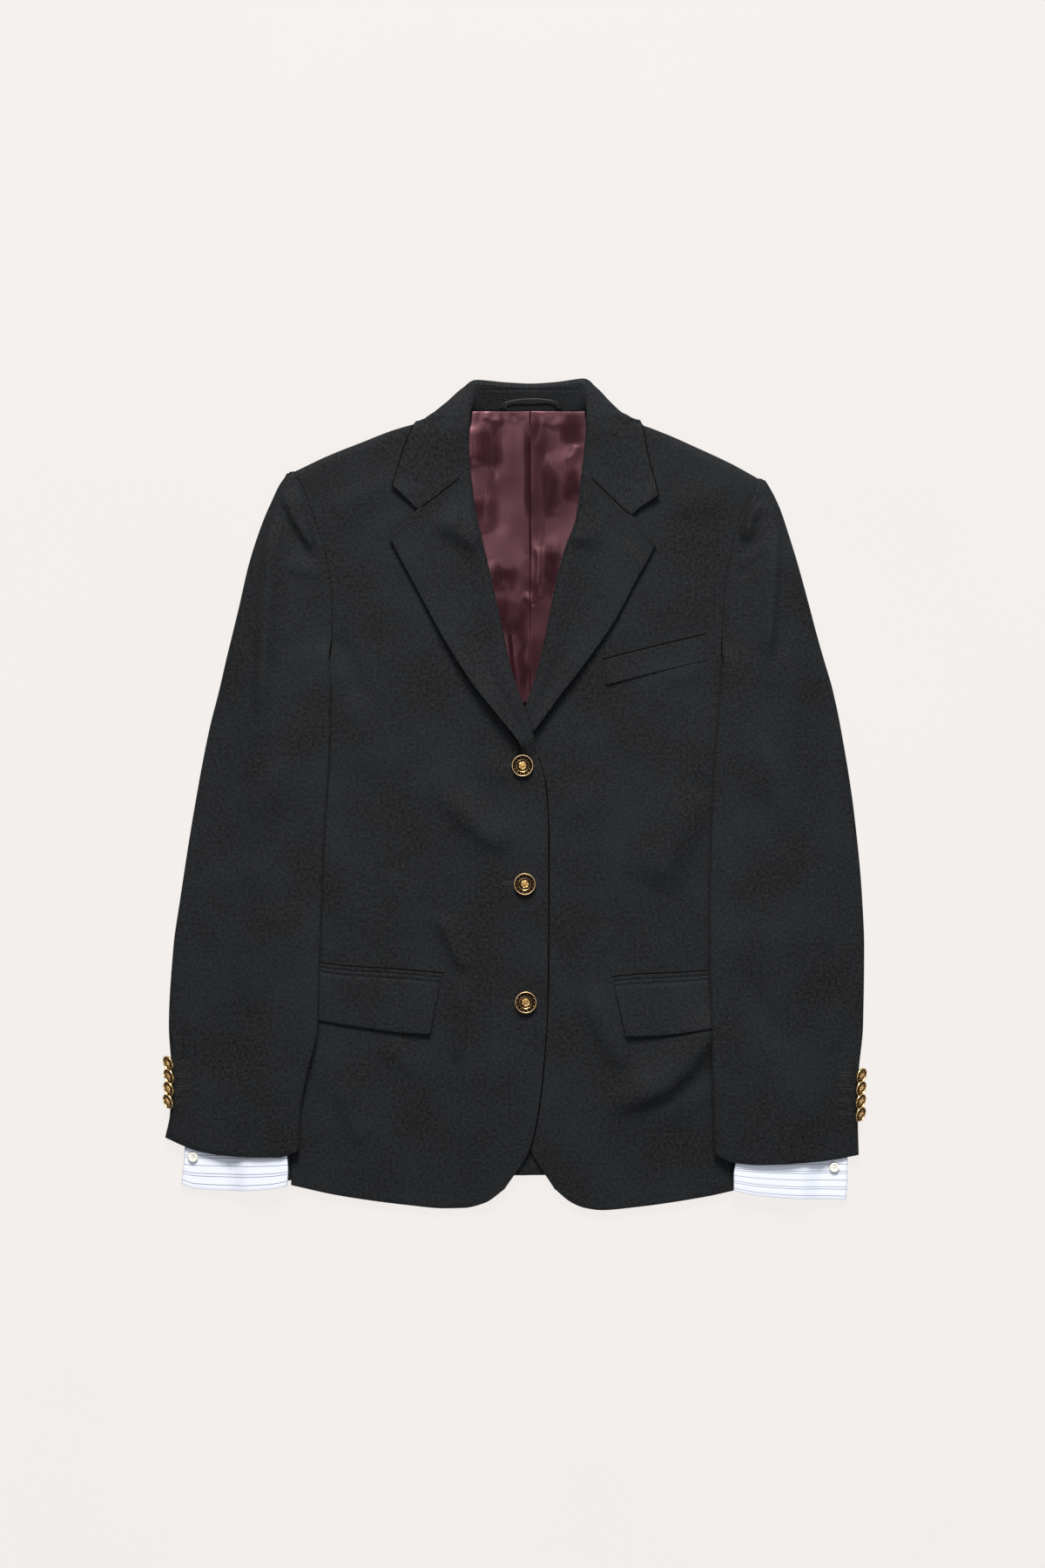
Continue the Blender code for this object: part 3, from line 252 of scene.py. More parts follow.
SLEEVE_RIGHT = rows_of(SleeveRow,
    (296, -208.6, -200.8, -1.2, 0.3, 3.4), (292.5, -210.4, -200.4, -1.2, 0.3, 3.4),
    (285, -214.8, -195.6, -1.2, 0.8, 3.4), (272, -220.8, -190.4, -1.2, 1.6, 3.4),
    (250, -230.4, -182.4, -1.2, 3.2, 3.4), (211, -243.2, -171.4, -1.2, 4.6, 3.4),
    (173, -252, -166.7, -1.2, 5.8, 3.4), (146, -258.5, -167.2, -0.6, 6, 3.6),
    (126, -263.4, -169.6, 2.6, 2.2, 8), (96, -270.4, -168, 2.9, 1.8, 14), (58, -280, -168.4, 2.9, 2.2, 15),
    (-19, -294.4, -173, 2.9, 2.2, 15), (-96, -306.4, -176.4, 3.2, 2.2, 15), (-140, -312.6, -178, 5.4, 2.2, 15),
    (-212, -316.8, -180, 5.4, 2.2, 15), (-260, -314, -190.4, 4.4, 2.2, 15), (-292, -315.6, -196, 3.2, 2.7, 15),
    (-314, -320, -197.4, 3, 2.9, 15),
)
SLEEVE_LEFT = rows_of(SleeveRow,
    (289.6, 230.2, 222.2, -1.2, 0.3, 3.4), (286.5, 232.2, 221.6, -1.2, 0.3, 3.4),
    (277, 236.8, 218.2, -1.2, 0.8, 3.4), (261, 244, 211, -1.2, 1.6, 3.4), (242, 250.4, 203.4, -1.2, 3.2, 3.4),
    (211, 260, 196.8, -1.2, 4.6, 3.4), (173, 270.4, 191.8, -1.2, 5.8, 3.4), (142, 278.6, 190.4, -0.6, 6, 3.6),
    (122, 284.4, 191, 2.6, 2.2, 8), (96, 292, 188.6, 2.9, 1.8, 14), (58, 300, 185.4, 2.9, 2.2, 15),
    (-19, 312, 180.8, 2.9, 2.2, 15), (-96, 319.2, 179, 3.2, 2.2, 15), (-140, 321, 178.8, 5.4, 2.2, 15),
    (-212, 320, 180.4, 5.4, 2.2, 15), (-260, 315.6, 181.6, 4.4, 2.2, 15), (-292, 315, 182.4, 3.2, 2.7, 15),
    (-318, 315.8, 183.2, 3, 2.9, 15),
)
SLEEVE_HEM_RIGHT = rows_of(Edge,
    (-320, -314.4), (-304, -321.6), (-288, -327.2), (-264, -330.8), (-240, -332), (-216, -332),
    (-197.6, -326.4),
)
SLEEVE_HEM_LEFT = rows_of(Edge,
    (183.2, -328), (200, -336.8), (224, -338.8), (256, -337.6), (288, -335.2), (316, -330.4),
)


class LapelRow(NamedTuple):
    """One station of a lapel: a point on its roll line, one on its edge, and its bow."""

    roll_x: float
    roll_y: float
    edge_x: float
    edge_y: float
    bow: float = 0.0


LAPEL_RIGHT = rows_of(LapelRow,
    (18.4, 53, 5.4, 44.6), (11.6, 74.4, -16.8, 74.4), (-1.6, 111.2, -38.8, 102.4), (-14.7, 170.4, -65.1, 144),
    (-26.8, 223.2, -91.5, 192.8), (-35.5, 262.4, -105, 217.5), (-40.4, 296.2, -113.4, 234, 3.2),
)
LAPEL_LEFT = rows_of(LapelRow,
    (12, 85, 20.2, 60.8), (17.4, 101, 37.9, 85), (29.2, 148.8, 66.4, 122.4), (36.8, 188, 92.6, 160),
    (46.4, 225.6, 110.4, 194), (56.6, 254, 122.4, 215), (62.1, 297, 129, 228, -2.6),
)


class CollarRow(NamedTuple):
    """One station round the collar: stand's foot, fold, crest of the fall and its edge."""

    foot_x: float
    foot_y: float
    foot_z: float
    fold_x: float
    fold_y: float
    fold_z: float
    crest_x: float
    crest_y: float
    crest_z: float
    edge_x: float
    edge_y: float
    edge_z: float


COLLAR = rows_of(CollarRow,
    (-45.2, 294.2, 7.5, -41.2, 297.6, 10.2, -88.2, 261.8, 11.6, -111.2, 282.4, 14.6),
    (-48, 307, 7.6, -42.4, 307.4, 11, -79, 288, 11, -107.6, 294.6, 10.8),
    (-48.4, 322, 7.6, -42.6, 322, 12, -72, 312, 12, -99.6, 320, 10.8),
    (-48, 334, 7.4, -42, 334.6, 13, -68, 331, 13, -93.4, 334.4, 10.4),
    (-46.6, 341, 7, -41.6, 341.6, 13.2, -80, 342.6, 11, -89.4, 341.4, 6.9),
    (-43, 346.6, 6, -41, 348, 13, -70.6, 350.6, 10.2, -83.6, 340.4, 1),
    (-37, 351.6, 4.4, -40.2, 357, 12.4, -59.6, 360.4, 8.8, -66, 335, 1),
    (-30, 351.6, 3.8, -38.4, 367, 11.4, -47.2, 371.6, 6.4, -44, 333.6, 1),
    (-20, 351.6, 3.6, -32, 375.6, 10, -34, 379, 5.4, -26, 333.4, 1),
    (-2, 351.6, 3.6, -6, 373.6, 9.4, -6.4, 376.6, 5.2, -4, 333.4, 1),
    (15, 351.6, 3.6, 15, 372.4, 9.2, 15, 375.6, 5.2, 15, 333.4, 1),
    (32, 351.6, 3.6, 36, 373.6, 9.4, 36.6, 376.8, 5.2, 33, 333.4, 1),
    (48, 351.6, 3.6, 61, 376.6, 10, 63, 380.2, 5.4, 54, 333.4, 1),
    (58, 351.6, 3.8, 66.6, 367.4, 11.4, 75.2, 372, 6.4, 72, 333.6, 1),
    (64, 351.6, 4.4, 67.4, 357, 12.4, 86.8, 359.6, 8.8, 94, 335, 1),
    (70, 346.6, 6, 67.4, 348, 13, 95.6, 350.4, 10.2, 109.6, 340.4, 1),
    (72.6, 341, 7, 67.2, 341.6, 13.2, 105.6, 343.4, 11, 114.8, 342.4, 6.9),
    (73, 334, 7.4, 66.8, 334.4, 13, 92, 331, 13, 118.2, 333.6, 10.4),
    (71.6, 322, 7.6, 65.6, 322, 12, 94, 311, 12, 120.8, 317.6, 10.8),
    (70, 307, 7.6, 64.4, 307.4, 11, 99, 286, 11, 127, 292, 10.8),
    (66.6, 294.4, 7.5, 62.8, 298.2, 10.2, 106.6, 257, 11.6, 131.8, 273.6, 14.2),
)


class LiningRow(NamedTuple):
    """One level of the back lining where the neck opening shows it."""

    y: float
    right: float
    left: float


LINING = rows_of(LiningRow,
    (351, -39, 65), (338, -40, 66), (326, -45, 69), (296, -46, 67), (225, -33, 52), (170, -21, 39),
    (111, -8, 26), (84, 0, 20),
)
LINING_FOLDS = rows_of(Fold,
    (-16, 330, -14, 250, -0.7, 9), (16, 345, 16, 200, 0.8, 9), (34, 320, 30, 240, -0.6, 9),
)


class Patch(NamedTuple):
    """A four-cornered piece that lies on a front, from its upper corners down."""

    name: str
    top: tuple[Flat, ...]
    bottom: tuple[Flat, ...]
    soft: float


WELT_LEFT = Patch("breast_welt", ((82.4, 124), (128, 135.6), (174.4, 146.4)),
                  ((84, 100), (130, 112), (176.8, 122.8)), 0.5)
JET_RIGHT = Patch("pocket_jet_right",
                  ((-196, -151.6), (-179, -154.4), (-152, -157.6), (-112, -160), (-65, -164)),
                  ((-196, -155.4), (-179, -158.2), (-152, -161.4), (-112, -163.8), (-66, -167.8)), 0)
JET_LEFT = Patch("pocket_jet_left",
                 ((91.2, -167.2), (116, -164.8), (144, -163.8), (178.4, -161.4), (210, -157.6)),
                 ((91.2, -171.2), (116, -168.8), (144, -167.8), (178.4, -165.4), (210, -161.6)), 0)
FLAP_RIGHT = Patch("pocket_flap_right",
                   ((-197, -155.8), (-179, -158.6), (-152, -161.8),
                    (-112, -164.2), (-90, -165.8), (-67.4, -168.4)),
                   ((-197, -203), (-179, -207), (-152, -211.8),
                    (-112, -217.4), (-90, -219.2), (-77, -219.4)), 0.9)
FLAP_LEFT = Patch("pocket_flap_left",
                  ((91.2, -171.6), (108, -169.8), (124, -169.2), (144, -168.2), (178.4, -165.8), (212, -161.8)),
                  ((102, -221.4), (112, -221.8), (126, -221.4), (148, -219.6), (179, -214.4), (212, -209)), 0.9)


# Shares of a flap's height at its top, close together for the pressed seam below the jet.
FLAP_SHARES = (0, 0.03, 0.05, 0.065, 0.085, 0.105, 0.12, 0.15)


class ShirtRow(NamedTuple):
    """One level of a shirt cuff: its outer and inner edge."""

    y: float
    outer: float
    inner: float


FRONT_BUTTONS = rows_of(Edge, (7.6, 26.4), (9.6, -82), (10.6, -190.4))
# A metal button's face from its middle to its back, as shares of its radius and thickness.
BUTTON_PROFILE = (
    (0, 0.8), (0.2, 0.79), (0.36, 0.74), (0.46, 0.62), (0.49, 0.56), (0.53, 0.56), (0.55, 0.66), (0.58, 0.7),
    (0.61, 0.66), (0.63, 0.54), (0.68, 0.46), (0.84, 0.46), (0.89, 0.54), (0.9, 0.9), (0.915, 1), (0.965, 1),
    (0.985, 0.9), (1, 0.6), (0.97, 0.3), (0.9, 0.1), (0.8, 0), (0, 0),
)
PEARL_PROFILE = (
    (0, 1.45), (1.9, 1.5), (2.6, 1.7), (3.1, 2.05), (3.6, 2.12), (4.1, 2), (4.45, 1.6), (4.5, 1.1), (4.3, 0.5),
    (4, 0.1), (3.6, 0), (0, 0),
)
CUFF_BUTTONS_RIGHT = [-246.0, -257.6, -269.2, -280.8]
CUFF_BUTTONS_LEFT = [-257.0, -268.8, -280.6, -292.4]

SHIRT_RIGHT = rows_of(ShirtRow,
    (-300, -302, -214), (-326, -302.5, -208.4), (-344, -304, -207), (-357, -305.4, -208),
)
SHIRT_LEFT = rows_of(ShirtRow, (-306, 306, 206), (-334, 306, 203), (-350, 305.6, 201), (-364, 304.6, 201))
SHIRT_HEM_RIGHT = rows_of(Edge, (-305.4, -357), (-292, -361.6), (-256, -363.2), (-224, -361.6), (-208, -358.4))
SHIRT_HEM_LEFT = rows_of(Edge, (201, -362.6), (224, -367.2), (264, -370.4), (304.6, -371.6))
PEARL_RIGHT = Edge(-294.6, -332.6)
PEARL_LEFT = Edge(293.4, -342.0)

LOOP = [
    (-11, 353.6), (-9.4, 356.6), (-5, 358.6), (4, 359.8), (15, 360.2),
    (26, 360.2), (35, 359.2), (39.6, 356.8), (41, 353.6),
]
LOOP_WIDTH = 3.0


class Crease(NamedTuple):
    """A soft ridge (high > 0) or trough along a bent line, steeper on one side by lean."""

    spots: tuple[Flat, ...]
    high: float
    half: float
    lean: float = 0.0


# Drag lines and pressed folds of the body. Most are ridges that fall away steeply on one
# side, which the light from the neck's side turns into a soft dark line.
BODY_CREASES = rows_of(Crease,
    (((-66, 1), (-46, -22), (-25, -38), (-1, -52)), 0.95, 13, 0.35),
    (((-71, -110), (-61, -130), (-51, -152), (-46, -164)), 0.8, 6, 0.3),
    (((-44, -170), (-46, -195), (-49, -225), (-52, -248)), 0.9, 6, -0.3),
    (((-164, -260), (-154, -287), (-141, -315), (-138, -318)), 0.55, 11, 0.3),
    (((-34, 22), (-20, 19), (-6, 16)), 0.4, 11, 0.3), (((-186, -30), (-160, -70), (-150, -130)), 0.5, 18),
    (((-166, 150), (-150, 120), (-142, 88)), -0.5, 9), (((-118, -70), (-104, -96), (-98, -134)), 0.4, 14, 0.3),
    (((-124, -232), (-104, -240), (-86, -262)), 0.4, 10, 0.3),
    (((-22, -236), (-34, -290), (-40, -336)), 0.4, 13),
    (((193, -197), (180, -216), (170, -233), (157, -251), (137, -269), (111, -280), (84, -286)), 2.1, 16, -0.4),
    (((186, -264), (160, -286), (130, -302)), 0.5, 11),
    (((63, -172), (73, -197), (83, -221), (95, -240), (110, -246)), 0.85, 14, 0.3),
    (((168, 10), (155, -30), (140, -60), (126, -88)), 1.3, 23, -0.3), (((92, -122), (79, -147)), 0.4, 5, -0.3),
    (((38, -4), (66, -10), (104, -4)), 0.35, 20, 0.2), (((196, 86), (178, 52), (170, 6)), 0.5, 15),
    (((138, 104), (156, 107), (174, 114)), 0.4, 9, 0.3), (((28, -120), (44, -150), (48, -184)), -0.4, 10),
    (((-172, 258), (-134, 276), (-100, 292)), 0.5, 14, -0.3),
    (((140, 262), (166, 268), (192, 262)), 0.5, 14, 0.3), (((-150, 92), (-138, 60), (-134, 10)), 0.4, 16),
)
LAPEL_CREASES = rows_of(Crease,
    (((-74, 250), (-58, 244), (-44, 234), (-26, 226)), 1.7, 13, 0.4),
    (((44, 238), (60, 236), (78, 230)), 1.3, 11, 0.35),
)
SLEEVE_CREASES = rows_of(Crease,
    (((-222, 256), (-228, 189), (-231, 133), (-235, 74)), 2.2, 7, 0.5),
    (((-211, 279), (-199, 249), (-179, 219)), 2, 8, 0.4),
    (((-196, 284), (-189, 268), (-184, 255)), 0.7, 5, 0.3),
    (((-210, 210), (-195, 206), (-176, 202)), 0.85, 8, 0.3), (((-246, 150), (-236, 128), (-214, 108)), -0.4, 9),
    (((-212, 30), (-228, 2), (-246, -24)), 0.5, 11, 0.2), (((-204, -10), (-226, -44), (-250, -66)), -0.5, 11),
    (((-258, -60), (-270, -104), (-282, -150)), 0.5, 10),
    (((-238, -106), (-224, -112), (-208, -114)), 0.2, 9, 0.2),
    (((-206, -150), (-226, -190), (-250, -226)), -0.5, 12, 0.2),
    (((-294, -198), (-300, -222), (-305, -248)), 0.8, 5, 0.3),
    (((241, 248), (238, 194), (235, 155), (231, 112)), 1.3, 6, -0.45),
    (((225, 268), (215, 252), (210, 230)), 1.9, 11, -0.4),
    (((223, 280), (216, 268), (208, 255)), 0.9, 6, -0.35), (((234, 232), (220, 218), (205, 206)), 0.7, 5, -0.3),
    (((254, 170), (244, 138), (226, 112)), -0.4, 10), (((222, 50), (238, 14), (254, -26)), 0.5, 12, -0.2),
    (((214, 4), (236, -32), (256, -50)), -0.4, 12), (((268, -50), (280, -100), (288, -148)), 0.5, 10),
    (((206, -156), (228, -196), (254, -236)), -0.5, 12, -0.2),
    (((300, -186), (296, -214), (294, -238)), 0.7, 7, -0.3),
)
# The lining is a loose satin: soft drapes down the back from the neck seam.
LINING_CREASES = rows_of(Crease,
    (((15, 344), (16, 300), (15, 254)), 2.2, 9.5, 0.6), (((33, 316), (34, 286), (31, 256)), 2, 9, 0.6),
    (((-42, 340), (-41, 320), (-39, 300)), 2.2, 10, 0.6), (((-17, 338), (-18, 314), (-17, 288)), -0.8, 3, 0.2),
    (((-38, 274), (-36, 256), (-32, 238)), 1.7, 8.5, 0.5), (((23, 228), (23, 206), (21, 180)), 1.9, 8.5, 0.55),
    (((-4, 170), (-1, 138), (3, 100)), 1.6, 5.5, 0.5), (((11, 152), (12, 130), (12, 108)), 1, 4, 0.4),
    (((14, 226), (30, 224), (42, 221)), 0.8, 8, 0.3), (((-26, 214), (-22, 196), (-18, 176)), 1, 8, 0.4),
    (((57, 322), (55, 313), (47, 304)), 1.3, 5), (((-30, 347), (-18, 343), (-8, 342)), 0.7, 3.5, 0.2),
    (((22, 343), (34, 340), (46, 338)), 0.8, 5, 0.3), (((-12, 194), (-8, 190), (-4, 186)), 0.8, 4),
    (((10, 184), (14, 178), (18, 172)), 1.1, 4),
)
# Where the lining gathers into fine upright ripples: x, y, half width, half length.
LINING_GATHERS = [
    (-24, 318, 12, 15), (-34, 262, 9, 15), (18, 336, 5, 13), (52, 334, 11, 12), (33, 280, 9, 21), (53, 284, 8, 15),
    (33, 206, 8, 20), (2, 158, 12, 13), (7, 118, 5, 28), (-13, 166, 5, 12), (-9, 200, 13, 9),
]
DART_RIGHT = -98.0
DART_LEFT = 119.0
DART_TOP = 44.0
DART_FOOT = -150.0
DART_STOPS = (-1.6, -0.8, 0.0, 0.8, 1.6)
# Distance between a front's or sleeve's rows, and the number of points across a body panel.
GRID = 3.4
PANEL_STOPS = 80
# How deep the creases are pressed.
BODY_DEPTH = 4.0
SLEEVE_DEPTH = 2.8
# A fold's half round of radius 1 from foot to top: how far out, and how high.
HALF_ROUND = [(math.cos(turn), 1 + math.sin(turn)) for turn in (math.pi * (k / 8 - 0.5) for k in range(9))]


# ---- curves and heights


def smooth(keys: Sequence[float], values: Sequence[float], at: float) -> float:
    """Read a curve through the given values that doesn't overshoot between them.

    Args:
        keys: Where the values stand, rising or falling.
        values: The values.
        at: Where to read.

    Returns:
        The value there, held level beyond the ends.
    """
    knots, heights = np.asarray(keys, float), np.asarray(values, float)
    if knots[0] > knots[-1]:
        knots, heights = knots[::-1], heights[::-1]
    steps = np.diff(knots)
    slopes = np.diff(heights) / steps
    tangents = np.zeros(len(knots))
    for i in range(1, len(knots) - 1):
        if slopes[i - 1] * slopes[i] > 0:
            tangents[i] = 2 * slopes[i - 1] * slopes[i] / (slopes[i - 1] + slopes[i])
    tangents[0], tangents[-1] = slopes[0], slopes[-1]
    at = min(max(at, knots[0]), knots[-1])
    i = int(min(max(np.searchsorted(knots, at) - 1, 0), len(steps) - 1))
    t = (at - knots[i]) / steps[i]
    return float(
        heights[i] * (1 + 2 * t) * (1 - t) ** 2
        + tangents[i] * steps[i] * t * (1 - t) ** 2
        + heights[i + 1] * t * t * (3 - 2 * t)
        + tangents[i + 1] * steps[i] * t * t * (t - 1)
    )


def column(table: Sequence[Any], name: str, at: float, key: str = "y") -> float:
    """Read the smooth value of a table's named column where its key column is at a value."""
    return smooth([getattr(row, key) for row in table], [getattr(row, name) for row in table], at)


def station(table: Sequence[Any], at: float) -> Any:
    """The smooth row of a table at any place between its rows, which count from 0."""
    keys = list(range(len(table)))
    return type(table[0])(*(smooth(keys, values, at) for values in zip(*table)))


def ease(value: float) -> float:
    """0 below 0, 1 above 1 and a soft S between."""
    value = min(max(value, 0.0), 1.0)
    return value * value * (3 - 2 * value)


def bell(value: float) -> float:
    """1 at 0, falling away softly on both sides."""
    return math.exp(-(value**2))


def rough(x: float, y: float, wide: float, long: float, layer: float) -> float:
    """Smooth noise from -1 to 1 of the given width and length, the same in each run."""
    return noise.noise(Vector((x / wide, y / long, layer)))


def spread(low: float, high: float, count: int) -> list[float]:
    """Numbers evenly from low to high."""
    return [low + (high - low) * k / (count - 1) for k in range(count)]


def denser(stops: Sequence[float], step: float) -> list[float]:
    """Add stops between the given ones, in their order, until none are further apart than step."""
    fine = [stops[0]]
    for low, high in zip(stops, stops[1:]):
        fine += spread(low, high, max(2, math.ceil(abs(high - low) / step) + 1))[1:]
    return fine


def fold_height(folds: Sequence[Fold], x: float, y: float) -> float:
    """Height of the broad folds at a place, which the solids have too."""
    total = 0.0
    for fold in folds:
        run_x, run_y = fold.x1 - fold.x0, fold.y1 - fold.y0
        along = ((x - fold.x0) * run_x + (y - fold.y0) * run_y) / (run_x**2 + run_y**2)
        along = min(max(along, 0.0), 1.0)
        across = math.hypot(x - fold.x0 - run_x * along, y - fold.y0 - run_y * along) / fold.half
        total += fold.high * math.exp(-across * across)
    return total


def crease_height(creases: Sequence[Crease], x: float, y: float) -> float:
    """Height of the finer creases at a place, each fading out towards both its ends."""
    total = 0.0
    for crease in creases:
        nearest, where, turn = 1e9, 0.0, 1.0
        spans = len(crease.spots) - 1
        for k, ((ax, ay), (bx, by)) in enumerate(zip(crease.spots, crease.spots[1:])):
            dx, dy = bx - ax, by - ay
            t = min(max(((x - ax) * dx + (y - ay) * dy) / (dx * dx + dy * dy), 0.0), 1.0)
            gap = math.hypot(x - ax - dx * t, y - ay - dy * t)
            if gap < nearest:
                nearest, where = gap, (k + t) / spans
                turn = math.copysign(1.0, dx * (y - ay) - dy * (x - ax))
        reach = nearest / (crease.half * (1 + crease.lean * turn))
        if reach < 2.6:
            total += crease.high * math.exp(-reach * reach) * ease(0.2 + 3 * min(where, 1 - where))
    return total


def mottle(x: float, y: float, layer: float, size: float = 34.0) -> float:
    """Slight unevenness of pressed cloth, from -1 to 1, the same in each run."""
    return rough(x, y, size, size, layer) + 0.4 * noise.noise(Vector((x / size * 2.7, y / size * 2.7, layer)))


def lay(x: float, y: float) -> float:
    """Height of the middle of a front's wall where it lies on the back, as in the solids."""
    chest = CHEST_HIGH * math.exp(-(((abs(x - CENTRE_BACK) - 95) / 60) ** 2) - ((y - 205) / 70) ** 2)
    return column(LAY, "z", y) + chest + fold_height(BODY_FOLDS, x, y)


def drape(x: float, y: float) -> float:
    """Finer creases of the body, which every layer lying on the fronts follows."""
    calm = ease((y + 352) / 40) * (1 - ease((y - 285) / 40))
    return (BODY_DEPTH * crease_height(BODY_CREASES, x, y) + PRESS_UNEVEN * mottle(x, y, 1.0)) * calm


def front_right_z(x: float, y: float) -> float:
    """The right front lies over the left one and steps down beside its hidden edge."""
    over = ease((x + 48) / 34) * (1 - ease((y - 96) / 50))
    return lay(x, y) + drape(x, y) + OVERLAP_LIFT * over


def front_left_z(x: float, y: float) -> float:
    """The left front lies straight on the back and its lining."""
    return lay(x, y) + drape(x, y)


def back_z(x: float, y: float) -> float:
    """The back lies on the surface and rises over the collar's fall at the neck."""
    near_neck = 1 - ease((abs(x - CENTRE_BACK) - 100) / 34)
    return FLOOR + NECK_RISE * ease((y - 294) / 34) * near_neck


def stand_z(y: float) -> float:
    """Height of the stand's middle behind the neck, from its foot to its fold."""
    return 3.6 + 5.6 * ease((y - 349.0) / 30.0)


def back_top(x: float, y: float) -> float:
    """Height at which the middle of a front's wall clears the back beneath it."""
    return back_z(x, y) + CLOTH_WALL / 2 + LAY_GAP + FRONT_WALL / 2


def edge_curl(z: float, gap: float, low: float) -> float:
    """Height of a sheet that rounds down to low over the last stretch to its edge."""
    if gap >= EDGE_ROLL:
        return z
    return low + (z - low) * math.sqrt(max(0.0, 1 - (1 - gap / EDGE_ROLL) ** 2))


def through(points: Sequence[Sequence[float]], steps: Sequence[int]) -> list[Vector]:
    """Draw a rounded curve through the given points.

    Args:
        points: The points, all of two or all of three numbers.
        steps: The number of steps in each span.

    Returns:
        The points of the curve.
    """
    spots = [Vector(p) for p in points]
    curve = [spots[0]]
    for i, count in enumerate(steps):
        before, start, end = spots[max(i - 1, 0)], spots[i], spots[i + 1]
        after = spots[min(i + 2, len(spots) - 1)]
        span = (end - start).length
        into = (end - before) * (span / max((end - before).length, 1e-6))
        out = (after - start) * (span / max((after - start).length, 1e-6))
        for k in range(1, count + 1):
            t = k / count
            curve.append(
                start * ((1 + 2 * t) * (1 - t) ** 2) + into * (t * (1 - t) ** 2)
                + end * (t * t * (3 - 2 * t)) + out * (t * t * (t - 1))
            )
    return curve


def line(table: Sequence[Edge]) -> Callable[[float], float]:
    """A function of X along an edge that runs across the jacket."""
    return lambda x: column(table, "y", x, key="x")


@dataclass(frozen=True)
class HandSide:
    """Everything that belongs to one hand: its tables and the way that points outwards."""

    name: str
    out: int
    front: list[BodyRow]
    back: list[BodyRow]
    side: list[SideRow]
    sleeve: list[SleeveRow]
    sleeve_hem: list[Edge]
    lapel: list[LapelRow]
    hem: list[Edge]
    shoulder: list[Edge]
    neck: list[CollarRow]
    shirt: list[ShirtRow]
    shirt_hem: list[Edge]
    pearl: Edge
    cuff_buttons: list[float]
    dart: float
    front_z: Height

    def tip(self) -> float:
        """Level of the shoulder's outer end, where the sleeve's head begins."""
        return self.shoulder[0 if self.out < 0 else -1].y


RIGHT = HandSide(
    "right", -1, FRONT_RIGHT, BACK_RIGHT, SIDE_RIGHT, SLEEVE_RIGHT, SLEEVE_HEM_RIGHT, LAPEL_RIGHT, HEM_RIGHT,
    SHOULDER_RIGHT, COLLAR[1:5], SHIRT_RIGHT, SHIRT_HEM_RIGHT, PEARL_RIGHT, CUFF_BUTTONS_RIGHT, DART_RIGHT,
    front_right_z,
)
LEFT = HandSide(
    "left", 1, FRONT_LEFT, BACK_LEFT, SIDE_LEFT, SLEEVE_LEFT, SLEEVE_HEM_LEFT, LAPEL_LEFT, HEM_LEFT,
    SHOULDER_LEFT, COLLAR[-2:-6:-1], SHIRT_LEFT, SHIRT_HEM_LEFT, PEARL_LEFT, CUFF_BUTTONS_LEFT, DART_LEFT,
    front_left_z,
)
HANDS = (RIGHT, LEFT)


def past_fold(hand: HandSide, y: float, inner: float, outer: float, counts: tuple[int, int]) -> list[float]:
    """Stops across a sleeve, close together where it lies over the side panel's fold.

    The counts are the numbers of stops before and after the fold.
    """
    near = [column(hand.side, "fold", y) + hand.out * v for v in SIDE_STOPS]
    return spread(inner, near[0], counts[0])[:-1] + near + spread(near[-1], outer, counts[1])[1:]


# ---- finishes


class Slot(Enum):
    """The record's material slots."""

    WOOL = "wool"
    LINING = "lining"
    TAPE = "tape"
    METAL = "button_metal"
    SHIRTING = "shirting"
    PEARL = "pearl"


class Held(Enum):
    """How a cut piece is held in the jacket."""

    LAID = "laid"
    FOLDED = "folded"


def linear(code: str) -> tuple[float, float, float, float]:
    """Turn an sRGB hex code into linear light with full alpha."""
    values = [int(code[k : k + 2], 16) / 255 for k in (0, 2, 4)]
    red, green, blue = (v / 12.92 if v <= 0.04045 else ((v + 0.055) / 1.055) ** 2.4 for v in values)
    return red, green, blue, 1.0


def feed(tree: NodeTree, node: Node, values: Optional[dict[Any, Any]] = None,
         links: Optional[dict[Any, Any]] = None) -> None:
    """Set a node's sockets, by name or number, to constants and to other nodes' outputs."""
    for socket, value in (values or {}).items():
        node.inputs[socket].default_value = value
    for socket, source in (links or {}).items():
        tree.links.new(source, node.inputs[socket])


def add(tree: NodeTree, kind: str, values: Optional[dict[Any, Any]] = None,
        links: Optional[dict[Any, Any]] = None, **settings: Any) -> Node:
    """Add one node to a tree.

    Args:
        tree: A material's or a Geometry Nodes tree.
        kind: The node's type, which may leave out ShaderNode.
        values: Constants for its sockets, by name or number.
        links: Output sockets that feed its own, by name or number.
        settings: The node's own properties.

    Returns:
        The node.
    """
    node = tree.nodes.new(kind if "Node" in kind else "ShaderNode" + kind)
    for name, value in settings.items():
        setattr(node, name, value)
    feed(tree, node, values, links)
    return node


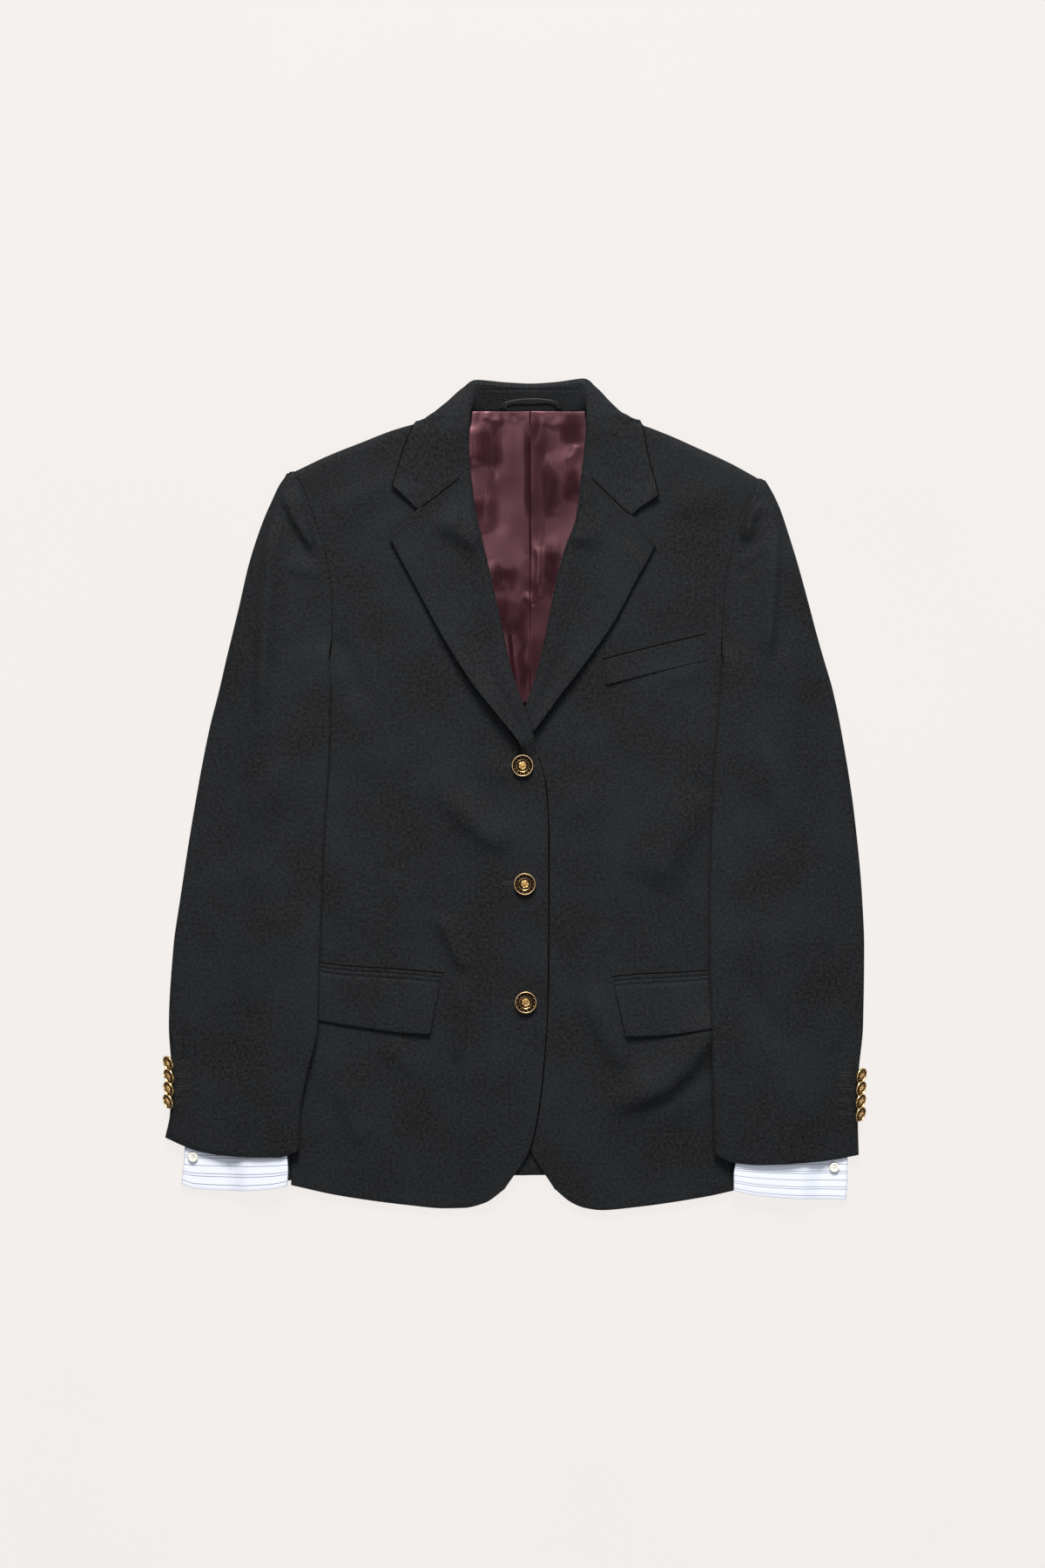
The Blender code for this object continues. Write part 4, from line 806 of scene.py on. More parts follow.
class Look(NamedTuple):
    """A material being made: its tree, its shader, and where its patterns are read."""

    material: Material
    tree: NodeTree
    shader: Node
    place: NodeSocket

    def two_tone(self, pattern: NodeSocket, tones: tuple[str, str], relief: Optional[Flat],
                 values: dict[str, float]) -> Material:
        """Finish the shader with one pattern that gives both colour and relief.

        Args:
            pattern: The pattern's socket, 0 to 1.
            tones: Its colours at 0 and at 1.
            relief: How strongly and how many millimetres deep it stands out, if it does.
            values: The shader's constants.

        Returns:
            The material.
        """
        tone = add(self.tree, "Mix", {6: linear(tones[0]), 7: linear(tones[1])}, {0: pattern},
                   data_type="RGBA")
        links = {"Base Color": tone.outputs[2]}
        if relief:
            bump = add(self.tree, "Bump", {"Strength": relief[0], "Distance": relief[1] * MM},
                       {"Height": pattern})
            links["Normal"] = bump.outputs["Normal"]
        feed(self.tree, self.shader, values, links)
        return self.material


def start_look(name: str, on_cut: bool = False) -> Look:
    """Start a material.

    Args:
        name: The material's name.
        on_cut: Whether its patterns follow the flat cut, and not the piece's own place.

    Returns:
        The material being made.
    """
    material = bpy.data.materials.new(name)
    material.use_nodes = True
    tree = material.node_tree
    source = add(tree, "UVMap", uv_map="cut") if on_cut else add(tree, "TexCoord")
    return Look(material, tree, tree.nodes["Principled BSDF"], source.outputs["UV" if on_cut else "Object"])


def bands(period: float) -> float:
    """Scale of a Wave texture whose bands along an axis repeat every so many millimetres."""
    return math.pi / 10 / (period * MM)


def clouds(size: float) -> float:
    """Scale of a Noise texture whose clouds are so many millimetres across."""
    return 1 / (size * MM)


@dataclass(frozen=True)
class WorstedWool:
    """Worsted wool suiting, woven in a fine twill and pressed: matt, with a faint bloom where it turns.

    Real twill lines stand 0.6 mm apart, too fine for the picture, so they are drawn at
    rib_mm. Slubs and fibre tone break them up, and a broad mottling shows the pressing.
    """

    shade: str = "050506"
    body: str = "1f2123"
    bloom: str = "202327"
    rib_mm: float = 1.1
    slub_mm: float = 2.8
    slub_share: float = 0.86
    press_mm: float = 70.0

    def make(self) -> Material:
        """Build the cloth's material."""
        material, tree, shader, cut = start_look("worsted_wool_twill", on_cut=True)
        rib = add(tree, "TexWave", {"Scale": bands(self.rib_mm * math.sqrt(2)), "Distortion": 1.2,
                  "Detail": 1.0, "Detail Scale": 2.0}, {"Vector": cut}, bands_direction="DIAGONAL")
        slub = add(tree, "TexNoise", {"Scale": clouds(self.slub_mm), "Detail": 3.0, "Roughness": 0.7},
                   {"Vector": cut})
        press = add(tree, "TexNoise", {"Scale": clouds(self.press_mm), "Detail": 2.0}, {"Vector": cut})
        weave = add(tree, "Mix", {0: self.slub_share}, {2: rib.outputs["Fac"], 3: slub.outputs["Fac"]})
        grain = add(tree, "MapRange", {"From Min": 0.36, "From Max": 0.64}, {"Value": weave.outputs[0]})
        thread = add(tree, "Mix", {6: linear(self.shade), 7: linear(self.body)},
                     {0: grain.outputs["Result"]}, data_type="RGBA")
        lift = add(tree, "MapRange", {"From Min": 0.35, "From Max": 0.7, "To Max": 0.4},
                   {"Value": press.outputs["Fac"]})
        tone = add(tree, "Mix", {7: linear(self.bloom)},
                   {0: lift.outputs["Result"], 6: thread.outputs[2]}, data_type="RGBA")
        bump = add(tree, "Bump", {"Strength": 0.35, "Distance": 0.25 * MM}, {"Height": weave.outputs[0]})
        feed(tree, shader, {"Roughness": 0.78, "Specular IOR Level": 0.1, "Sheen Weight": 0.02,
                            "Sheen Roughness": 0.45},
             {"Base Color": tone.outputs[2], "Normal": bump.outputs["Normal"]})
        return material


@dataclass(frozen=True)
class LiningSatin:
    """Viscose satin, piece-dyed burgundy: smooth float threads that give broad soft highlights.

    The floats run down the cloth 0.2 mm apart, drawn at float_mm so that they show. Where
    the cloth's "gather" attribute is high, ripples ripple_mm apart draw it in and dull it.
    """

    deep: str = "17090d"
    face: str = "2c1319"
    gleam: str = "ecaab8"
    float_mm: float = 0.9
    cloud_mm: float = 26.0
    ripple_mm: float = 1.3
    ripple_high: float = 0.5

    def make(self) -> Material:
        """Build the satin's material."""
        material, tree, shader, cut = start_look("burgundy_viscose_satin", on_cut=True)
        floats = add(tree, "TexWave", {"Scale": bands(self.float_mm), "Distortion": 2.0, "Detail": 2.0},
                     {"Vector": cut}, bands_direction="X")
        cloud = add(tree, "TexNoise", {"Scale": clouds(self.cloud_mm), "Detail": 3.0, "Distortion": 0.6},
                    {"Vector": cut})
        hue = add(tree, "Mix", {6: linear(self.deep), 7: linear(self.face)}, {0: cloud.outputs["Fac"]},
                  data_type="RGBA")
        gloss = add(tree, "MapRange", {"To Min": 0.3, "To Max": 0.4}, {"Value": cloud.outputs["Fac"]})
        gather = add(tree, "Attribute", attribute_name="gather").outputs["Fac"]
        ripples = add(tree, "TexWave", {"Scale": bands(self.ripple_mm), "Distortion": 0.5}, {"Vector": cut},
                      bands_direction="X")
        drawn = add(tree, "Bump", {"Distance": self.ripple_high * MM},
                    {"Height": ripples.outputs["Fac"], "Strength": gather})
        bump = add(tree, "Bump", {"Strength": 0.12, "Distance": 0.1 * MM},
                   {"Height": floats.outputs["Fac"], "Normal": drawn.outputs["Normal"]})
        feed(tree, shader, {"Specular IOR Level": 1.0, "Specular Tint": linear(self.gleam), "Anisotropic": 0.4},
             {"Base Color": hue.outputs[2], "Roughness": gloss.outputs["Result"], "Normal": bump.outputs["Normal"]})
        return material


@dataclass(frozen=True)
class SatinTape:
    """Black polyester satin tape with a fine cross rib: dark, with a clear shine on its bends."""

    dark: str = "030304"
    light: str = "09090b"
    rib_mm: float = 0.9

    def make(self) -> Material:
        """Build the tape's material."""
        look = start_look("black_satin_tape", on_cut=True)
        rib = add(look.tree, "TexWave", {"Scale": bands(self.rib_mm), "Distortion": 0.6},
                  {"Vector": look.place}, bands_direction="X")
        return look.two_tone(rib.outputs["Fac"], (self.dark, self.light), (0.3, 0.12),
                             {"Roughness": 0.45, "Specular IOR Level": 0.3})


@dataclass(frozen=True)
class AntiqueBrass:
    """Stamped brass, lacquered and rubbed: pale gold on what stands up, browner in patches."""

    bright: str = "e6c284"
    rubbed: str = "805a2a"
    patch_mm: float = 2.4
    tarnish: float = 0.7
    rough: Flat = (0.24, 0.4)
    name: str = "antique_stamped_brass"

    def make(self) -> Material:
        """Build the metal of rims, beads or petals."""
        material, tree, shader, place = start_look(self.name)
        patch = add(tree, "TexNoise", {"Scale": clouds(self.patch_mm), "Detail": 4.0, "Roughness": 0.65},
                    {"Vector": place}).outputs["Fac"]
        worn = add(tree, "MapRange", {"From Min": 0.42, "From Max": 0.72, "To Max": self.tarnish},
                   {"Value": patch})
        tone = add(tree, "Mix", {6: linear(self.bright), 7: linear(self.rubbed)},
                   {0: worn.outputs["Result"]}, data_type="RGBA")
        rough = add(tree, "MapRange", {"To Min": self.rough[0], "To Max": self.rough[1]}, {"Value": patch})
        bump = add(tree, "Bump", {"Strength": 0.2, "Distance": 0.05 * MM}, {"Height": patch})
        feed(tree, shader, {"Metallic": 1.0}, {"Base Color": tone.outputs[2], "Roughness": rough.outputs["Result"],
                                               "Normal": bump.outputs["Normal"]})
        return material


@dataclass(frozen=True)
class BlackenedRecess:
    """Oxidised brass in a button's sunk ground: nearly black brown, with a dull gleam."""

    dark: str = "080504"
    warm: str = "1d120b"
    grain_mm: float = 0.7

    def make(self) -> Material:
        """Build the sunk ground's material."""
        look = start_look("blackened_brass_ground")
        grain = add(look.tree, "TexNoise", {"Scale": clouds(self.grain_mm), "Detail": 2.0},
                    {"Vector": look.place})
        return look.two_tone(grain.outputs["Fac"], (self.dark, self.warm), (0.4, 0.08),
                             {"Roughness": 0.6, "Specular IOR Level": 0.06})


@dataclass(frozen=True)
class StripedPoplin:
    """Cotton poplin shirting: cool white, with thin blue-grey warp stripes in groups.

    Two lines pair_mm apart are followed by a single one halfway to the next pair, and the
    group repeats every group_mm down the cuff. The plain weave of 0.3 mm is drawn at weave_mm.
    """

    ground: str = "d7dce8"
    shadow: str = "ccd2df"
    stripe: str = "6b7688"
    group_mm: float = 14.6
    pair_mm: float = 2.1
    line_mm: float = 0.52
    weave_mm: float = 1.0

    def make(self) -> Material:
        """Build the shirting's material."""
        material, tree, shader, cut = start_look("striped_cotton_poplin", on_cut=True)
        down = add(tree, "SeparateXYZ", links={0: cut}).outputs["Y"]
        group = add(tree, "Math", {1: self.group_mm * MM}, {0: down}, operation="FLOORED_MODULO")
        total = None
        for centre in (self.group_mm * 0.2, self.group_mm * 0.2 + self.pair_mm, self.group_mm * 0.775):
            gap = add(tree, "Math", {1: centre * MM}, {0: group.outputs[0]}, operation="SUBTRACT")
            near = add(tree, "Math", links={0: gap.outputs[0]}, operation="ABSOLUTE")
            band = add(tree, "MapRange", {"From Min": self.line_mm * 0.7 * MM,
                       "From Max": self.line_mm * 0.3 * MM}, {"Value": near.outputs[0]}).outputs[0]
            total = band if total is None else add(tree, "Math", links={0: total, 1: band},
                                                   operation="MAXIMUM").outputs[0]
        weave = add(tree, "TexNoise", {"Scale": clouds(self.weave_mm), "Detail": 2.0},
                    {"Vector": cut}).outputs["Fac"]
        cloth = add(tree, "Mix", {6: linear(self.ground), 7: linear(self.shadow)}, {0: weave},
                    data_type="RGBA")
        tone = add(tree, "Mix", {7: linear(self.stripe)}, {0: total, 6: cloth.outputs[2]},
                   data_type="RGBA")
        bump = add(tree, "Bump", {"Strength": 0.2, "Distance": 0.1 * MM}, {"Height": weave})
        feed(tree, shader, {"Roughness": 0.75, "Sheen Weight": 0.1},
             {"Base Color": tone.outputs[2], "Normal": bump.outputs["Normal"]})
        return material


@dataclass(frozen=True)
class PearlShell:
    """Polished pearl shell: milky, with faint warm and green clouds and a wet gloss."""

    milk: str = "e9e7e0"
    cloud: str = "c9cdbf"
    cloud_mm: float = 2.6

    def make(self) -> Material:
        """Build the shell's material."""
        look = start_look("polished_pearl_shell")
        cloud = add(look.tree, "TexNoise", {"Scale": clouds(self.cloud_mm), "Detail": 3.0,
                    "Distortion": 1.5}, {"Vector": look.place})
        return look.two_tone(cloud.outputs["Fac"], (self.milk, self.cloud), (0.1, 0.05),
                             {"Roughness": 0.16, "Coat Weight": 0.4})


@dataclass(frozen=True)
class SilkThread:
    """Buttonhole twist and sewing thread: a smooth, slightly shiny yarn with a turned lay."""

    name: str
    dark: str
    light: str
    turn_mm: float = 0.5
    roughness: float = 0.5
    specular: float = 0.5

    def make(self) -> Material:
        """Build the thread's material."""
        look = start_look(self.name)
        turn = add(look.tree, "TexWave", {"Scale": bands(self.turn_mm), "Distortion": 1.0},
                   {"Vector": look.place}, bands_direction="DIAGONAL")
        return look.two_tone(turn.outputs["Fac"], (self.dark, self.light), None,
                             {"Roughness": self.roughness, "Specular IOR Level": self.specular})


@dataclass(frozen=True)
class StudioPaper:
    """Matt paper sweep: a warm off-white that stays even right up to the jacket."""

    tone: str = "f4f0ed"
    fibre: str = "f1edea"
    base: str = "333232"
    glow: float = 0.95

    def make(self) -> Material:
        """Build the floor's material, which glows a little so that no shadow pools on it."""
        material, tree, shader, place = start_look("matt_studio_paper")
        fibre = add(tree, "TexNoise", {"Scale": 3.0, "Detail": 2.0}, {"Vector": place})
        tone = add(tree, "Mix", {6: linear(self.tone), 7: linear(self.fibre)}, {0: fibre.outputs["Fac"]},
                   data_type="RGBA")
        feed(tree, shader, {"Base Color": linear(self.base), "Emission Strength": self.glow, "Roughness": 0.95,
                            "Specular IOR Level": 0.0}, {"Emission Color": tone.outputs[2]})
        return material


@dataclass(frozen=True)
class Finishes:
    """All the jacket's materials, each made once."""

    wool: Material
    satin: Material
    tape: Material
    brass: Material
    rim: Material
    recess: Material
    poplin: Material
    pearl: Material
    twist: Material
    # Near-black thread material of the painted shadow lines.
    painted_shade: Material
    cotton: Material

    @classmethod
    def make(cls) -> "Finishes":
        """Make every finish."""
        return cls(*(finish.make() for finish in (
            WorstedWool(), LiningSatin(), SatinTape(), AntiqueBrass(),
            AntiqueBrass("dcc29a", "a07c4c", tarnish=0.5, rough=(0.5, 0.6), name="rubbed_brass_rim"),
            BlackenedRecess(), StripedPoplin(), PearlShell(),
            SilkThread("charcoal_silk_twist", "121315", "28292d", roughness=0.6),
            # Painted shadow: near-black thread that paints the shade lines in seams and under edges.
            SilkThread("black_sewing_cotton", "020202", "060607", roughness=0.9, specular=0.05),
            SilkThread("white_cotton_thread", "d4d9e4", "f2f4f9", roughness=0.7),
        )))


# ---- making pieces


def cut_map(rows: Rows, ring: bool) -> list[list[Flat]]:
    """Lay a cut piece flat again, so that a weave follows its threads.

    Args:
        rows: The grid of points.
        ring: Whether each row closes into a ring.

    Returns:
        A flat place in metres for each point, one more in each row of a ring.
    """
    middle = len(rows[0]) // 2
    flat, down = [], rows[0][middle][1]
    for i, row in enumerate(rows):
        if i:
            step = Vector(row[middle]) - Vector(rows[i - 1][middle])
            down += math.copysign(step.length, step.y)
        closed = list(row) + ([row[0]] if ring else [])
        runs = np.cumsum([0.0] + [(Vector(b) - Vector(a)).length for a, b in zip(closed, closed[1:])])
        sign = math.copysign(1.0, row[middle][0] - row[0][0])
        flat.append([((row[middle][0] + sign * (run - runs[middle])) * MM, down * MM) for run in runs])
    return flat


def cut_size(rows: Rows, ring: bool) -> tuple[float, float, float]:
    """Width, length and area of a piece laid flat, in metres, from its own threads."""
    grid = np.array([list(row) + ([row[0]] if ring else []) for row in rows]) * MM
    across = np.linalg.norm(np.diff(grid, axis=1), axis=2)
    along = np.linalg.norm(np.diff(grid, axis=0), axis=2)
    first = np.cross(grid[1:, :-1] - grid[:-1, :-1], grid[:-1, 1:] - grid[:-1, :-1])
    second = np.cross(grid[1:, :-1] - grid[1:, 1:], grid[:-1, 1:] - grid[1:, 1:])
    area = (np.linalg.norm(first, axis=2) + np.linalg.norm(second, axis=2)).sum() / 2
    width, length = across.sum(axis=1).max(), along.sum(axis=0).max()
    return float(width), float(length), float(min(area, width * length))


def place_in_scene(name: str, data: Any) -> Object:
    """Put a mesh, lamp or camera into the scene."""
    thing = bpy.data.objects.new(name, data)
    bpy.context.scene.collection.objects.link(thing)
    return thing


def plain_mesh(solid: bmesh.types.BMesh, name: str, materials: Sequence[Material]) -> Mesh:
    """Write out what bmesh has built, with its materials, and free it."""
    mesh = bpy.data.meshes.new(name)
    solid.to_mesh(mesh)
    solid.free()
    for material in materials:
        mesh.materials.append(material)
    return mesh


def dress(piece: Object, slot: Slot, nodes: Sequence[str]) -> Object:
    """Ride a finished piece on the jacket, hide the nodes it stands for and say which they are."""
    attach(piece, "root")
    if nodes:
        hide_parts(*nodes)
    LOG.info("%s: %d points, for %s", piece.name, len(piece.data.vertices), ", ".join(nodes) or "no node")
    return piece


def cloth(name: str, rows: Rows, wall: float, material: Material, slot: Slot, node: str,
          rests_on: Sequence[str], held: Held = Held.LAID, ring: bool = False, soft: float = 0.4,
          declared: bool = True) -> Object:
    """Make one cut piece of cloth as a thin shell with rounded edges.

    Args:
        name: The piece's name.
        rows: The grid of points through the middle of its wall.
        wall: The cloth's thickness.
        material: Its material.
        slot: Its material slot; not used.
        node: The node that it replaces.
        rests_on: What it lies on; not used.
        held: How it is held; not used.
        ring: Whether each row closes into a ring.
        soft: How far its cut edges are rounded.
        declared: Whether it is a sheet of cloth, and not a narrow trim; not used.

    Returns:
        The piece.
    """
    shell = bmesh.new()
    grid = [[shell.verts.new(Vector(point) * MM) for point in row] for row in rows]
    flat = cut_map(rows, ring)
    layer = shell.loops.layers.uv.new("cut")
    width = len(rows[0])
    for i in range(len(grid) - 1):
        for k in range(width if ring else width - 1):
            n = (k + 1) % width
            face = shell.faces.new((grid[i][k], grid[i][n], grid[i + 1][n], grid[i + 1][k]))
            face.smooth = True
            for loop, (row, place) in zip(face.loops, ((i, k), (i, k + 1), (i + 1, k + 1), (i + 1, k))):
                loop[layer].uv = flat[row][place]
    bmesh.ops.recalc_face_normals(shell, faces=shell.faces)
    piece = place_in_scene(name, plain_mesh(shell, name, [material]))
    solid = piece.modifiers.new("wall", "SOLIDIFY")
    solid.thickness = wall * MM
    solid.offset = 0.0
    solid.use_even_offset = True
    solid.use_quality_normals = True
    edge = piece.modifiers.new("edge", "BEVEL")
    edge.limit_method = "ANGLE"
    edge.angle_limit = math.radians(60)
    edge.width = soft * MM
    edge.segments = 2
    dress(piece, slot, [node])
    wide, long, area = cut_size(rows, ring)
    if declared:
        list(rests_on)
    LOG.info("  cut %.0f x %.0f mm, %.4f square metres", wide / MM, long / MM, area)
    return piece


@dataclass
class NodeTool:
    """A Geometry Nodes tree with named inputs that can be run on a carrier mesh."""

    tree: NodeTree

    def run(self, mesh: Mesh, values: dict[str, Any]) -> Mesh:
        """Run the tree on a mesh.

        Args:
            mesh: The carrier's mesh.
            values: The tree's inputs by name.

        Returns:
            The plain result.
        """
        carrier = place_in_scene("carrier", mesh)
        modifier = carrier.modifiers.new("tool", "NODES")
        modifier.node_group = self.tree
        names = {item.name: item.identifier for item in self.tree.interface.items_tree if item.item_type == "SOCKET"}
        for name, value in values.items():
            modifier[names[name]] = value
        graph = bpy.context.evaluated_depsgraph_get()
        result = bpy.data.meshes.new_from_object(carrier.evaluated_get(graph))
        bpy.data.objects.remove(carrier, do_unlink=True)
        return result


def new_tree(name: str, sockets: Sequence[tuple[str, str, Any]]) -> tuple[NodeTree, Node]:
    """Start a Geometry Nodes tree.

    Args:
        name: The tree's name.
        sockets: Name, type and value of each input after the geometry.

    Returns:
        The tree and its input node.
    """
    tree = bpy.data.node_groups.new(name, "GeometryNodeTree")
    tree.interface.new_socket("Geometry", in_out="OUTPUT", socket_type="NodeSocketGeometry")
    tree.interface.new_socket("Geometry", in_out="INPUT", socket_type="NodeSocketGeometry")
    for label, kind, value in sockets:
        socket = tree.interface.new_socket(label, in_out="INPUT", socket_type=kind)
        if value is not None:
            socket.default_value = value
    return tree, tree.nodes.new("NodeGroupInput")


def close_tree(tree: NodeTree, instances: Any, material: Any) -> None:
    """End a tree in real geometry with its material, from the sockets that give both."""
    real = add(tree, "GeometryNodeRealizeInstances", links={0: instances})
    smooth_faces = add(tree, "GeometryNodeSetShadeSmooth", links={0: real.outputs[0]})
    painted = add(tree, "GeometryNodeSetMaterial", links={0: smooth_faces.outputs[0], "Material": material})
    add(tree, "NodeGroupOutput", links={0: painted.outputs[0]})


def ring_tool() -> NodeTool:
    """Build the tree that sets studs or petals in a ring, turned to face its middle."""
    tree, given = new_tree("ring_of_studs", [
        ("Count", "NodeSocketInt", 24), ("Radius", "NodeSocketFloat", 0.007), ("Height", "NodeSocketFloat", 0.0),
        ("Stud", "NodeSocketVector", (0.001, 0.001, 0.001)), ("Material", "NodeSocketMaterial", None),
    ])
    circle = add(tree, "GeometryNodeMeshCircle", links={"Vertices": given.outputs["Count"],
                 "Radius": given.outputs["Radius"]})
    place = add(tree, "GeometryNodeInputPosition")
    facing = add(tree, "FunctionNodeAlignRotationToVector", links={"Vector": place.outputs[0]}, axis="X")
    up = add(tree, "CombineXYZ", links={"Z": given.outputs["Height"]})
    moved = add(tree, "GeometryNodeSetPosition", links={0: circle.outputs[0], "Offset": up.outputs[0]})
    stud = add(tree, "GeometryNodeMeshUVSphere", {"Segments": 8, "Rings": 5, "Radius": 1.0})
    set_in = add(tree, "GeometryNodeInstanceOnPoints", links={
        "Points": moved.outputs[0], "Instance": stud.outputs[0], "Rotation": facing.outputs[0],
        "Scale": given.outputs["Stud"]})
    close_tree(tree, set_in.outputs[0], given.outputs["Material"])
    return NodeTool(tree)


def stitch_tool() -> NodeTool:
    """Build the tree that lays stitches of one size along a path, slightly uneven."""
    tree, given = new_tree("stitches_on_path", [
        ("Pitch", "NodeSocketFloat", 0.001), ("Stitch", "NodeSocketVector", (0.001, 0.0002, 0.0002)),
        ("Uneven", "NodeSocketFloat", 0.15), ("Seed", "NodeSocketInt", 3), ("Material", "NodeSocketMaterial", None),
    ])
    path = add(tree, "GeometryNodeMeshToCurve", links={0: given.outputs["Geometry"]})
    level = add(tree, "GeometryNodeSetCurveNormal", links={0: path.outputs[0]}, mode="Z_UP")
    spots = add(tree, "GeometryNodeCurveToPoints", links={0: level.outputs[0], "Length": given.outputs["Pitch"]},
                mode="LENGTH")
    low = add(tree, "Math", {0: 1.0}, {1: given.outputs["Uneven"]}, operation="SUBTRACT")
    high = add(tree, "Math", {0: 1.0}, {1: given.outputs["Uneven"]}, operation="ADD")
    share = add(tree, "FunctionNodeRandomValue", links={2: low.outputs[0], 3: high.outputs[0],
                "Seed": given.outputs["Seed"]}, data_type="FLOAT")
    size = add(tree, "VectorMath", links={0: given.outputs["Stitch"], "Scale": share.outputs[1]},
               operation="SCALE")
    yarn = add(tree, "GeometryNodeMeshUVSphere", {"Segments": 6, "Rings": 4, "Radius": 0.5})
    sewn = add(tree, "GeometryNodeInstanceOnPoints", links={
        "Points": spots.outputs[0], "Instance": yarn.outputs[0], "Rotation": spots.outputs["Rotation"],
        "Scale": size.outputs[0]})
    close_tree(tree, sewn.outputs[0], given.outputs["Material"])
    return NodeTool(tree)


def sew(tool: NodeTool, path: Sequence[Point], pitch: float, stitch: Point, uneven: float, seed: int,
        material: Material) -> Mesh:
    """Sew along a path, all in millimetres.

    Args:
        tool: The tree that stitches.
        path: Points along the path.
        pitch: Distance from stitch to stitch.
        stitch: Size of a stitch, its last number along the path.
        uneven: How much the stitches differ, as a share.
        seed: Seed of their differences.
        material: The thread's material.

    Returns:
        The stitches' mesh.
    """
    mesh = bpy.data.meshes.new("path")
    mesh.from_pydata([Vector(p) * MM for p in path], [(k, k + 1) for k in range(len(path) - 1)], [])
    return tool.run(mesh, {"Pitch": pitch * MM, "Stitch": tuple(v * MM for v in stitch), "Uneven": uneven,
                           "Seed": seed, "Material": material})


def studs(tool: NodeTool, count: int, radius: float, high: float, stud: Point, material: Material) -> Mesh:
    """Set studs in a ring at a height, all in millimetres, each of the half sizes given by stud."""
    return tool.run(bpy.data.meshes.new("seed"), {
        "Count": count, "Radius": radius * MM, "Height": high * MM, "Stud": tuple(v * MM for v in stud),
        "Material": material})


def joined(name: str, meshes: Sequence[Mesh], slot: Slot, nodes: Sequence[str]) -> Object:
    """Join plain meshes, with their materials, into one piece at the origin.

    Args:
        name: The piece's name.
        meshes: The meshes, in place, in metres.
        slot: The piece's material slot; not used.
        nodes: The nodes that it replaces.

    Returns:
        The piece.
    """
    whole, materials = bmesh.new(), []
    for mesh in meshes:
        own = [m for m in mesh.materials]
        for material in own:
            if material not in materials:
                materials.append(material)
        start = len(whole.faces)
        whole.from_mesh(mesh)
        whole.faces.ensure_lookup_table()
        for face in whole.faces[start:]:
            face.material_index = materials.index(own[min(face.material_index, len(own) - 1)])
            face.smooth = True
    return dress(place_in_scene(name, plain_mesh(whole, name, materials)), slot, nodes)


def turned_mesh(profile: Sequence[Flat], steps: int, materials: Sequence[Material],
                bands: Sequence[tuple[float, float, int]] = ()) -> Mesh:
    """Turn a profile about Z into a closed solid.

    Args:
        profile: Radius and height in millimetres, from the top's middle to the back's.
        steps: Sides round the turn.
        materials: The plain material, and those of the bands.
        bands: Ranges of radius whose upper faces take another material, each with its index.

    Returns:
        The mesh, in metres about its own axis.
    """
    solid = bmesh.new()
    rings = []
    for radius, high in profile:
        if radius < 1e-6:
            rings.append([solid.verts.new((0, 0, high * MM))])
        else:
            rings.append([solid.verts.new((radius * math.cos(2 * math.pi * k / steps) * MM,
                                           radius * math.sin(2 * math.pi * k / steps) * MM, high * MM))
                          for k in range(steps)])
    for i, (a, b) in enumerate(zip(rings, rings[1:])):
        middle = (profile[i][0] + profile[i + 1][0]) / 2
        index = sum(band for low, high, band in bands if profile[i][1] > 1.0 and low < middle < high)
        for k in range(steps):
            n = (k + 1) % steps
            if len(a) == 1:
                corners = (a[0], b[k], b[n])
            elif len(b) == 1:
                corners = (a[k], b[0], a[n])
            else:
                corners = (a[k], b[k], b[n], a[n])
            solid.faces.new(corners).material_index = index
    bmesh.ops.recalc_face_normals(solid, faces=solid.faces)
    return plain_mesh(solid, "turned", materials)


@dataclass
class WoolPart:
    """A sub-assembly that is cut from the wool."""

    finishes: Finishes
    wall: float = CLOTH_WALL

    def cut(self, name: str, node: str, rows: Rows, rests_on: Sequence[str], **how: Any) -> Object:
        """Make one of its pieces, as cloth does, for a node."""
        return cloth(name, rows, self.wall, self.finishes.wool, Slot.WOOL, node, rests_on, **how)


# ---- body


def head_levels(tip: float) -> list[float]:
    """Levels near a shoulder, shared by the body and the sleeve so that their seam fits."""
    return [HEAD_ZONE + (tip - HEAD_ZONE) * share for share in HEAD_SHARES]


def lip_point(row: LapelRow, distance: float) -> Vector:
    """A point beside the roll line, under a lapel."""
    roll, edge = Vector(row[:2]), Vector(row[2:4])
    return roll + (edge - roll).normalized() * distance


def front_edges(hand: HandSide) -> Callable[[float, float], Flat]:
    """Find the ends of a front's rows: side seam and armhole, and front edge, roll line and neck.

    Args:
        hand: The hand's tables.

    Returns:
        A function from a row's level, and the level it reaches at the free end, to both X.
    """
    plain = [(row.free, row.y) for row in hand.front if row.free and row.y < hand.lapel[0].roll_y - 10]
    roll = [tuple(lip_point(row, ROLL_LIP + HIDDEN_GAP)) for row in hand.lapel]
    neck = [(row.foot_x + hand.out * NECK_GAP, row.foot_y) for row in hand.neck]
    free = plain + roll + neck

    def ends(level: float, reach: float) -> Flat:
        """X of the side and of the free edge."""
        above = level > hand.front[-1].y
        side = column(hand.sleeve, "inner", level) if above else column(hand.front, "side", level)
        return side - hand.out * SEAM_GAP, smooth([p[1] for p in free], [p[0] for p in free], reach)

    return ends


def dart_depth(x: float, y: float, dart: float) -> float:
    """Depth of a front dart's pressed seam, which fades out towards its tip."""
    along = ease((DART_TOP - y) / 30) * ease((y - DART_FOOT) / 8 + 1)
    return along * (0.3 * bell((x - dart) / 0.9) + 0.3 * bell((x - dart) / 7))


